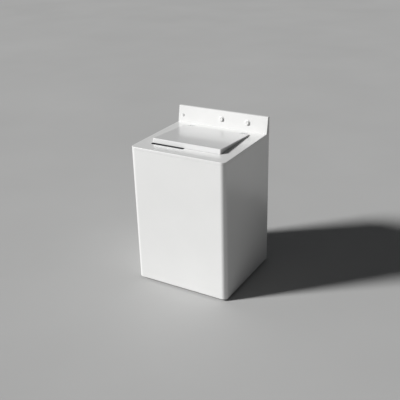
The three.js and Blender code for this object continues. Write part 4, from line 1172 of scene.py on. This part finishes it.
def makeConsoleBack():
    low, high = corners("console_back_cover")
    bm = bmesh.new()
    addBlock(bm, (low.x, low.y, low.z), (high.x, high.y - 0.9 * mm, high.z))
    cuts = bmesh.new()
    for column in range(-vents["eachSide"], vents["eachSide"] + 1):
        for row in range(vents["rows"]):
            x, z = column * vents["pitch"], low.z + vents["rise"] + row * vents["rowPitch"]
            slot = arc(x + vents["half"], z, vents["radius"], [-90 + 22.5 * n for n in range(9)])
            slot += arc(x - vents["half"], z, vents["radius"], [90 + 22.5 * n for n in range(9)])
            loft(cuts, [[Vector((px, y, pz)) for px, pz in slot] for y in (low.y - 5 * mm, high.y + 5 * mm)],
                 capFirst=True, capLast=True)
    addPiece("console_back_sheet", bm, "cabinet", "galvanised", ["console_back_cover"], cutters=[cuts])
    screws = bmesh.new()
    for k in range(6):
        x = low.x + 14 * mm + (high.x - low.x - 28 * mm) * k / 5
        for z in (low.z + 8 * mm, high.z - 8 * mm):
            addTurned(screws, stepsFrom(0, 0, (3, 0), (3, 0.3), (2.4, 0.75), (0.1, 0.85)),
                      facingRear(x, high.y - 0.9 * mm, z), 20)
    return addPiece("console_back_screws", screws, "cabinet", "spring_steel", angle=40)


makeRearFrame()
makeRearPanel()
makeRearScrews()
makeConsoleBack()
print("back of the cabinet made")


# water and power ports
def makeInletValve():
    low, high = corners("inlet_valve")
    inner = panelLow.y - 0.4 * mm
    z = panelHigh.z
    bm = bmesh.new()
    addBlock(bm, (low.x, inner - 30 * mm, z - 15 * mm), (high.x, inner - 0.1 * mm, z + 15 * mm),
             rounding=2 * mm)
    length = high.y - inner
    r, bore = ports["portRadius"], ports["boreRadius"]
    pitch, root = ports["threadPitch"], ports["threadDepth"]
    for x, portZ in inletPorts():
        section = [(bore, 0), (r - root, 0)]
        step = 3 * mm
        while step < length - 2 * mm:
            section += [(r - root, step), (r, step + pitch * 0.35), (r, step + pitch * 0.5)]
            step += pitch
        section += [(r - root, length - 0.5 * mm), (r - 1.4 * mm, length)]
        section += stepsFrom(bore, length, (0.5, 0), (0, -0.5))
        addTurned(bm, section, facingRear(x, inner, portZ), 40, wrap=True)
        filterDisc = stepsFrom(bore, 0, (0.2, 0), (0.2, 2)) + stepsFrom(0, 0, (0.1, 3), (0.1, 0))
        addTurned(bm, filterDisc, facingRear(x, inner + 2 * mm, portZ), 40)
        coil = stepsFrom(0, 0, (0.1, -44), (7, -44), (8, -42))
        coil += stepsFrom(ports["coilRadius"], 0, (-1, -42), (0, -41), (0, -17), (-1, -16))
        coil += stepsFrom(0, 0, (10, -16), (10, -14), (0.1, -14))
        addTurned(bm, coil, Matrix.Translation((x, inner - 16 * mm, portZ)), 32)
    nozzle = stepsFrom(0, 0, (4, 14), (9, 14), (6.2, 17), (6.2, 20), (6.5, 24), (5.9, 28), (4, 28))
    addTurned(bm, nozzle, Matrix.Translation(((low.x + high.x) / 2, inner - 16 * mm, z)), 24, wrap=True)
    return addPiece("inlet_valve_body", bm, "cabinet", "grey_plastic", ["inlet_valve"], angle=35)


def makeDrainPort():
    low, high = corners("drain_port")
    middle = (low + high) / 2
    r, length = ports["drainRadius"], high.y - low.y
    flange = panelLow.y - 0.5 * mm - low.y
    section = stepsFrom(r, 0, (-3, 0), (-1, 0), (-0.2, 1))
    section += stepsFrom(r, flange, (-0.2, -3), (7, -3), (8, -2), (8, 0), (-0.8, 0))
    step = flange + 6 * mm
    while step < length - 5 * mm:
        section += stepsFrom(r, step, (-1.8, 0), (0, 0.6), (-0.2, 1.2), (-1.6, 4.6))
        step += 5 * mm
    section += stepsFrom(r, length, (-1.8, 0), (-3, 0))
    bm = bmesh.new()
    addTurned(bm, section, facingRear(middle.x, low.y, middle.z), 48, wrap=True)
    return addPiece("drain_spigot", bm, "cabinet", "grey_plastic", ["drain_port"], angle=35)


def hoseSection(outer, every, depth):
    # a corrugated hose: its radius swells and narrows along its length
    return lambda i: outer - depth * (0.5 + 0.5 * math.cos(math.tau * i / every))


hoses = {"pump": 13 * mm, "pumpRidge": 2 * mm, "fill": 10.6 * mm, "fillRidge": 1.2 * mm}


def makeHoses():
    low, high = corners("pump_hose")
    x, y = low.x + hoses["pump"], high.y - hoses["pump"]
    z = corners("motor")[0].z + 18 * mm
    side = [(y, high.z), (y, high.z - 20 * mm)]
    side += stepsFrom(y, z, (-1, 48), (-10, 16), (-34, 1)) + stepsFrom(low.y, z, (16, 0), (0, 0))
    bm = bmesh.new()
    bend = smoothCurve([Vector((x, along, height)) for along, height in side], 16)
    addTube(bm, bend, hoseSection(hoses["pump"], 6, hoses["pumpRidge"]), 24)
    addPiece("pump_hose_corrugated", bm, "tub", "black_rubber", ["pump_hose"], angle=50)
    start = Vector((middleOf("inlet_valve").x, panelLow.y - 16.4 * mm, panelHigh.z + 24 * mm))
    steps = ((0, 0, 0), (0, 0, 10), (-6, -4, 26), (-30, -16, 36), (-56, -26, 38), (-70, -34, 38),
             (-70, -44, 38))
    bm = bmesh.new()
    bend = smoothCurve([start + Vector(step) * mm for step in steps], 14)
    addTube(bm, bend, hoseSection(hoses["fill"], 5, hoses["fillRidge"]), 24)
    return addPiece("fill_hose_corrugated", bm, "cabinet", "black_rubber", ["fill_hose"], angle=50)


makeInletValve()
makeDrainPort()
makeHoses()
print("ports and hoses made")


# drive under the tub
drive = {"fins": 30, "finDepth": 0.045, "holes": 5, "holeRadius": 11 * mm, "holeCircle": 34 * mm,
         "beltRibs": 4, "motorRadius": 56 * mm, "bigPulley": 60 * mm, "smallPulley": 16 * mm}


def makeMotor():
    low, high = corners("motor")
    pulley = middleOf("motor_pulley")
    place = Matrix.Translation((pulley.x, pulley.y, 0))
    radius, base, top = drive["motorRadius"], low.z, high.z
    bm = bmesh.new()

    def wobble(a, z):
        if z < base + 13 * mm or z > top - 22 * mm:
            return 1
        return 1 - drive["finDepth"] * (0.5 + 0.5 * math.cos(a * drive["fins"])) ** 3

    section = [(8 * mm, base)]
    section += stepsFrom(radius, base, (-9, 0), (-4, 2), (-1, 6), (0, 10), (0, 12), (0, 14))
    section += stepsFrom(radius, top, (0, -23), (0, -21), (0, -13), (-3, -6), (-10, -1), (-22, 0), (-30, -2))
    section += stepsFrom(0, top, (14, -2), (13, -0.4), (0.1, -0.2))
    addTurned(bm, section, place, drive["fins"] * 6, wobble=wobble)
    for k in range(4):
        turn = place @ Matrix.Rotation((k + 0.5) * math.pi / 2, 4, "Z")
        addBlock(bm, (44 * mm, -6 * mm, base), (66 * mm, 6 * mm, base + 5 * mm), turn)
        addTurned(bm, stepsFrom(0, 0, (5, 0), (5, 3), (0.1, 3.6)),
                  turn @ Matrix.Translation((59 * mm, 0, base + 5 * mm)), 6)
    addBlock(bm, (low.x, pulley.y - 20 * mm, base + 30 * mm),
             (pulley.x - radius + 4 * mm, pulley.y + 20 * mm, base + 70 * mm), rounding=2 * mm)
    return addPiece("motor_casing", bm, "tub", "cast_alloy", ["motor"], angle=40)


def makePulley(node, name, body, radius, shaft, holes):
    low, high = corners(node)
    middle = (low + high) / 2
    base, top = low.z, low.z + 14 * mm
    rim = radius + 5 * mm
    web = (base + top) / 2
    if holes:
        section = stepsFrom(0, base, (0.2, 0), (15, 0), (16, 1))
        section += [(17 * mm, web - 2.5 * mm), (radius - 9 * mm, web - 2.5 * mm)]
        section += stepsFrom(radius, base, (-7, 1), (-6, 0))
    else:
        section = [(0.2 * mm, base), (radius - 3 * mm, base)]
    section += stepsFrom(rim, base, (-0.6, 0), (0, 0.6), (0, 1.8)) + [(radius, base + 4 * mm)]
    ribs = drive["beltRibs"]
    for k in range(ribs):
        z = base + 4.4 * mm + (top - base - 8.8 * mm) * (k + 0.5) / ribs
        section += stepsFrom(radius, z, (0, -0.5), (-0.8, 0), (0, 0.5))
    section += [(radius, top - 4 * mm)] + stepsFrom(rim, top, (0, -1.8), (0, -0.6), (-0.6, 0))
    if holes:
        section += stepsFrom(radius, top, (-6, 0), (-7, -1))
        section += [(radius - 9 * mm, web + 2.5 * mm), (17 * mm, web + 2.5 * mm)]
        section += stepsFrom(0, top, (16, -1), (15, 0))
    section += [(shaft, top)] + stepsFrom(shaft, high.z, (0, -0.6), (-0.6, 0)) + [(0.2 * mm, high.z)]
    bm = bmesh.new()
    addTurned(bm, section, Matrix.Translation((middle.x, middle.y, 0)), 72)
    cuts = []
    if holes:
        tool = bmesh.new()
        for x, y in arc(middle.x, middle.y, drive["holeCircle"], [360 * k / holes for k in range(holes)]):
            place = Matrix.Translation((x, y, web - 6 * mm))
            addTurned(tool, [(drive["holeRadius"], 0), (drive["holeRadius"], 12 * mm)], place)
        cuts = [tool]
    return addPiece(name, bm, body, "cast_alloy", [node], angle=35, cutters=cuts)


def makeBelt():
    big, small = middleOf("drive_pulley"), middleOf("motor_pulley")
    low, high = corners("drive_belt")
    apart = Vector((small.x - big.x, small.y - big.y))
    heading = math.degrees(math.atan2(apart.y, apart.x))
    wrap = math.degrees(math.acos((drive["bigPulley"] - drive["smallPulley"]) / apart.length))

    def around(centre, radius, start, end):
        return arc(centre.x, centre.y, radius, [start + (end - start) * i / 32 for i in range(33)])

    def loop(offset):
        points = around(big, drive["bigPulley"] + offset, heading + wrap, heading - wrap + 360)
        points += around(small, drive["smallPulley"] + offset, heading - wrap, heading + wrap)
        return [Vector((x, y, 0)) for x, y in points]

    ribs = drive["beltRibs"]
    section = stepsFrom(0, low.z, (4.4, 0.3)) + stepsFrom(0, high.z, (4.4, -0.3), (4, 0), (1.8, 0))
    for k in range(ribs):
        z = high.z - (high.z - low.z) * (k + 0.5) / ribs
        section += stepsFrom(0, z, (0.9, 0.3), (0.9, -0.3), (1.7, -0.55))
    section += stepsFrom(0, low.z, (1.8, 0), (4, 0))
    bm = bmesh.new()
    loft(bm, [atHeight(loop(offset), z) for offset, z in section], wrapRings=True)
    return addPiece("drive_belt_ribbed", bm, "tub", "black_rubber", ["drive_belt"], angle=25)


def makeRods():
    for corner in cornerNames:
        node = "suspension_rod_" + corner
        low, high = corners(node)
        section = stepsFrom(0, low.z, (0.2, 0), (17.6, 0), (18.8, 0.8), (19, 2), (18.6, 3.6), (17, 4))
        section += stepsFrom(0, low.z, (9.4, 4), (8.6, 5), (8, 12), (6.6, 13.6), (3, 14))
        section += stepsFrom(0, deckTop - 39.7 * mm, (3, -0.3), (8.4, 0), (9, 0.8), (8.8, 3), (7.4, 6))
        section += stepsFrom(0, deckTop - 39.7 * mm, (5.4, 9), (4.8, 10.4), (3, 10.6))
        section += stepsFrom(0, high.z, (3, -0.8), (2.2, 0), (0.2, 0))
        bm = bmesh.new()
        addTurned(bm, section, Matrix.Translation(((low.x + high.x) / 2, (low.y + high.y) / 2, 0)))
        addPiece("rod_" + corner, bm, "cabinet", "spring_steel", [node], angle=35)


makeMotor()
makePulley("drive_pulley", "drive_pulley_cast", "drive_pulley", drive["bigPulley"], 7 * mm, drive["holes"])
makePulley("motor_pulley", "motor_pulley_cast", "motor_pulley", drive["smallPulley"], 5 * mm, 0)
makeBelt()
makeRods()
print("drive and rods made")


# camera, light and floor
view = {"azimuth": 30.69, "elevation": 24.44, "distance": 4.433, "roll": -1.58, "lens": 58.49,
        "aim": (-0.020, 0.0, 0.531)}


def makeCamera():
    a, e, r = (math.radians(view[k]) for k in ("azimuth", "elevation", "roll"))
    back = Vector((math.sin(a) * math.cos(e), -math.cos(a) * math.cos(e), math.sin(e)))
    right = Vector((math.cos(a), math.sin(a), 0))
    up = back.cross(right)
    rolledRight = right * math.cos(r) + up * math.sin(r)
    rolledUp = up * math.cos(r) - right * math.sin(r)
    place = Vector(view["aim"]) + back * view["distance"]
    camera = bpy.data.objects.new("camera", bpy.data.cameras.new("camera"))
    camera.data.lens = view["lens"]
    camera.data.sensor_width = 36
    camera.data.clip_end = 60
    basis = Matrix((rolledRight, rolledUp, back)).transposed().to_4x4()
    camera.matrix_world = Matrix.Translation(place) @ basis
    bpy.context.collection.objects.link(camera)
    bpy.context.scene.camera = camera


lights = {"sunStrength": 4.15, "sunSpread": 9, "sunFrom": (-2.05, -1.75, 1.78), "skyStrength": 0.07,
          "sky": (0.95, 0.97, 1.0)}


def makeSun():
    data = bpy.data.lights.new("key", "SUN")
    data.energy, data.angle = lights["sunStrength"], math.radians(lights["sunSpread"])
    lamp = bpy.data.objects.new("key", data)
    lamp.location = lights["sunFrom"]
    lamp.rotation_euler = (-Vector(lights["sunFrom"])).to_track_quat("-Z", "Y").to_euler()
    bpy.context.collection.objects.link(lamp)


def makeStudio():
    makeSun()
    world = bpy.data.worlds.new("studio")
    world.use_nodes = True
    world.node_tree.nodes["Background"].inputs["Color"].default_value = (*lights["sky"], 1)
    world.node_tree.nodes["Background"].inputs["Strength"].default_value = lights["skyStrength"]
    bpy.context.scene.world = world
    bpy.context.scene.view_settings.view_transform = "Standard"
    bm = bmesh.new()
    bmesh.ops.create_grid(bm, x_segments=8, y_segments=8, size=45)
    mesh = bpy.data.meshes.new("floor")
    bm.to_mesh(mesh)
    bm.free()
    floor = bpy.data.objects.new("floor", mesh)
    bpy.context.collection.objects.link(floor)
    floorValues = {"dark": (0.47, 0.47, 0.465), "light": (0.50, 0.50, 0.495), "broad": 0.6, "fine": 60,
                   "roughness": (0.8, 0.9), "grain": 0.02}
    floor.data.materials.append(plainFinish("pale floor", floorValues))


makeCamera()
makeStudio()
print("camera and studio ready")


# finishes on the parts kept from the frame
def dressNodes():
    for entry in frame["record"]["subparts"]:
        node = frame["nodes"][entry["node"]]
        node.data.materials.clear()
        node.data.materials.append(slotFinish[entry["material_slot"]])


dressNodes()
print("frame parts dressed")
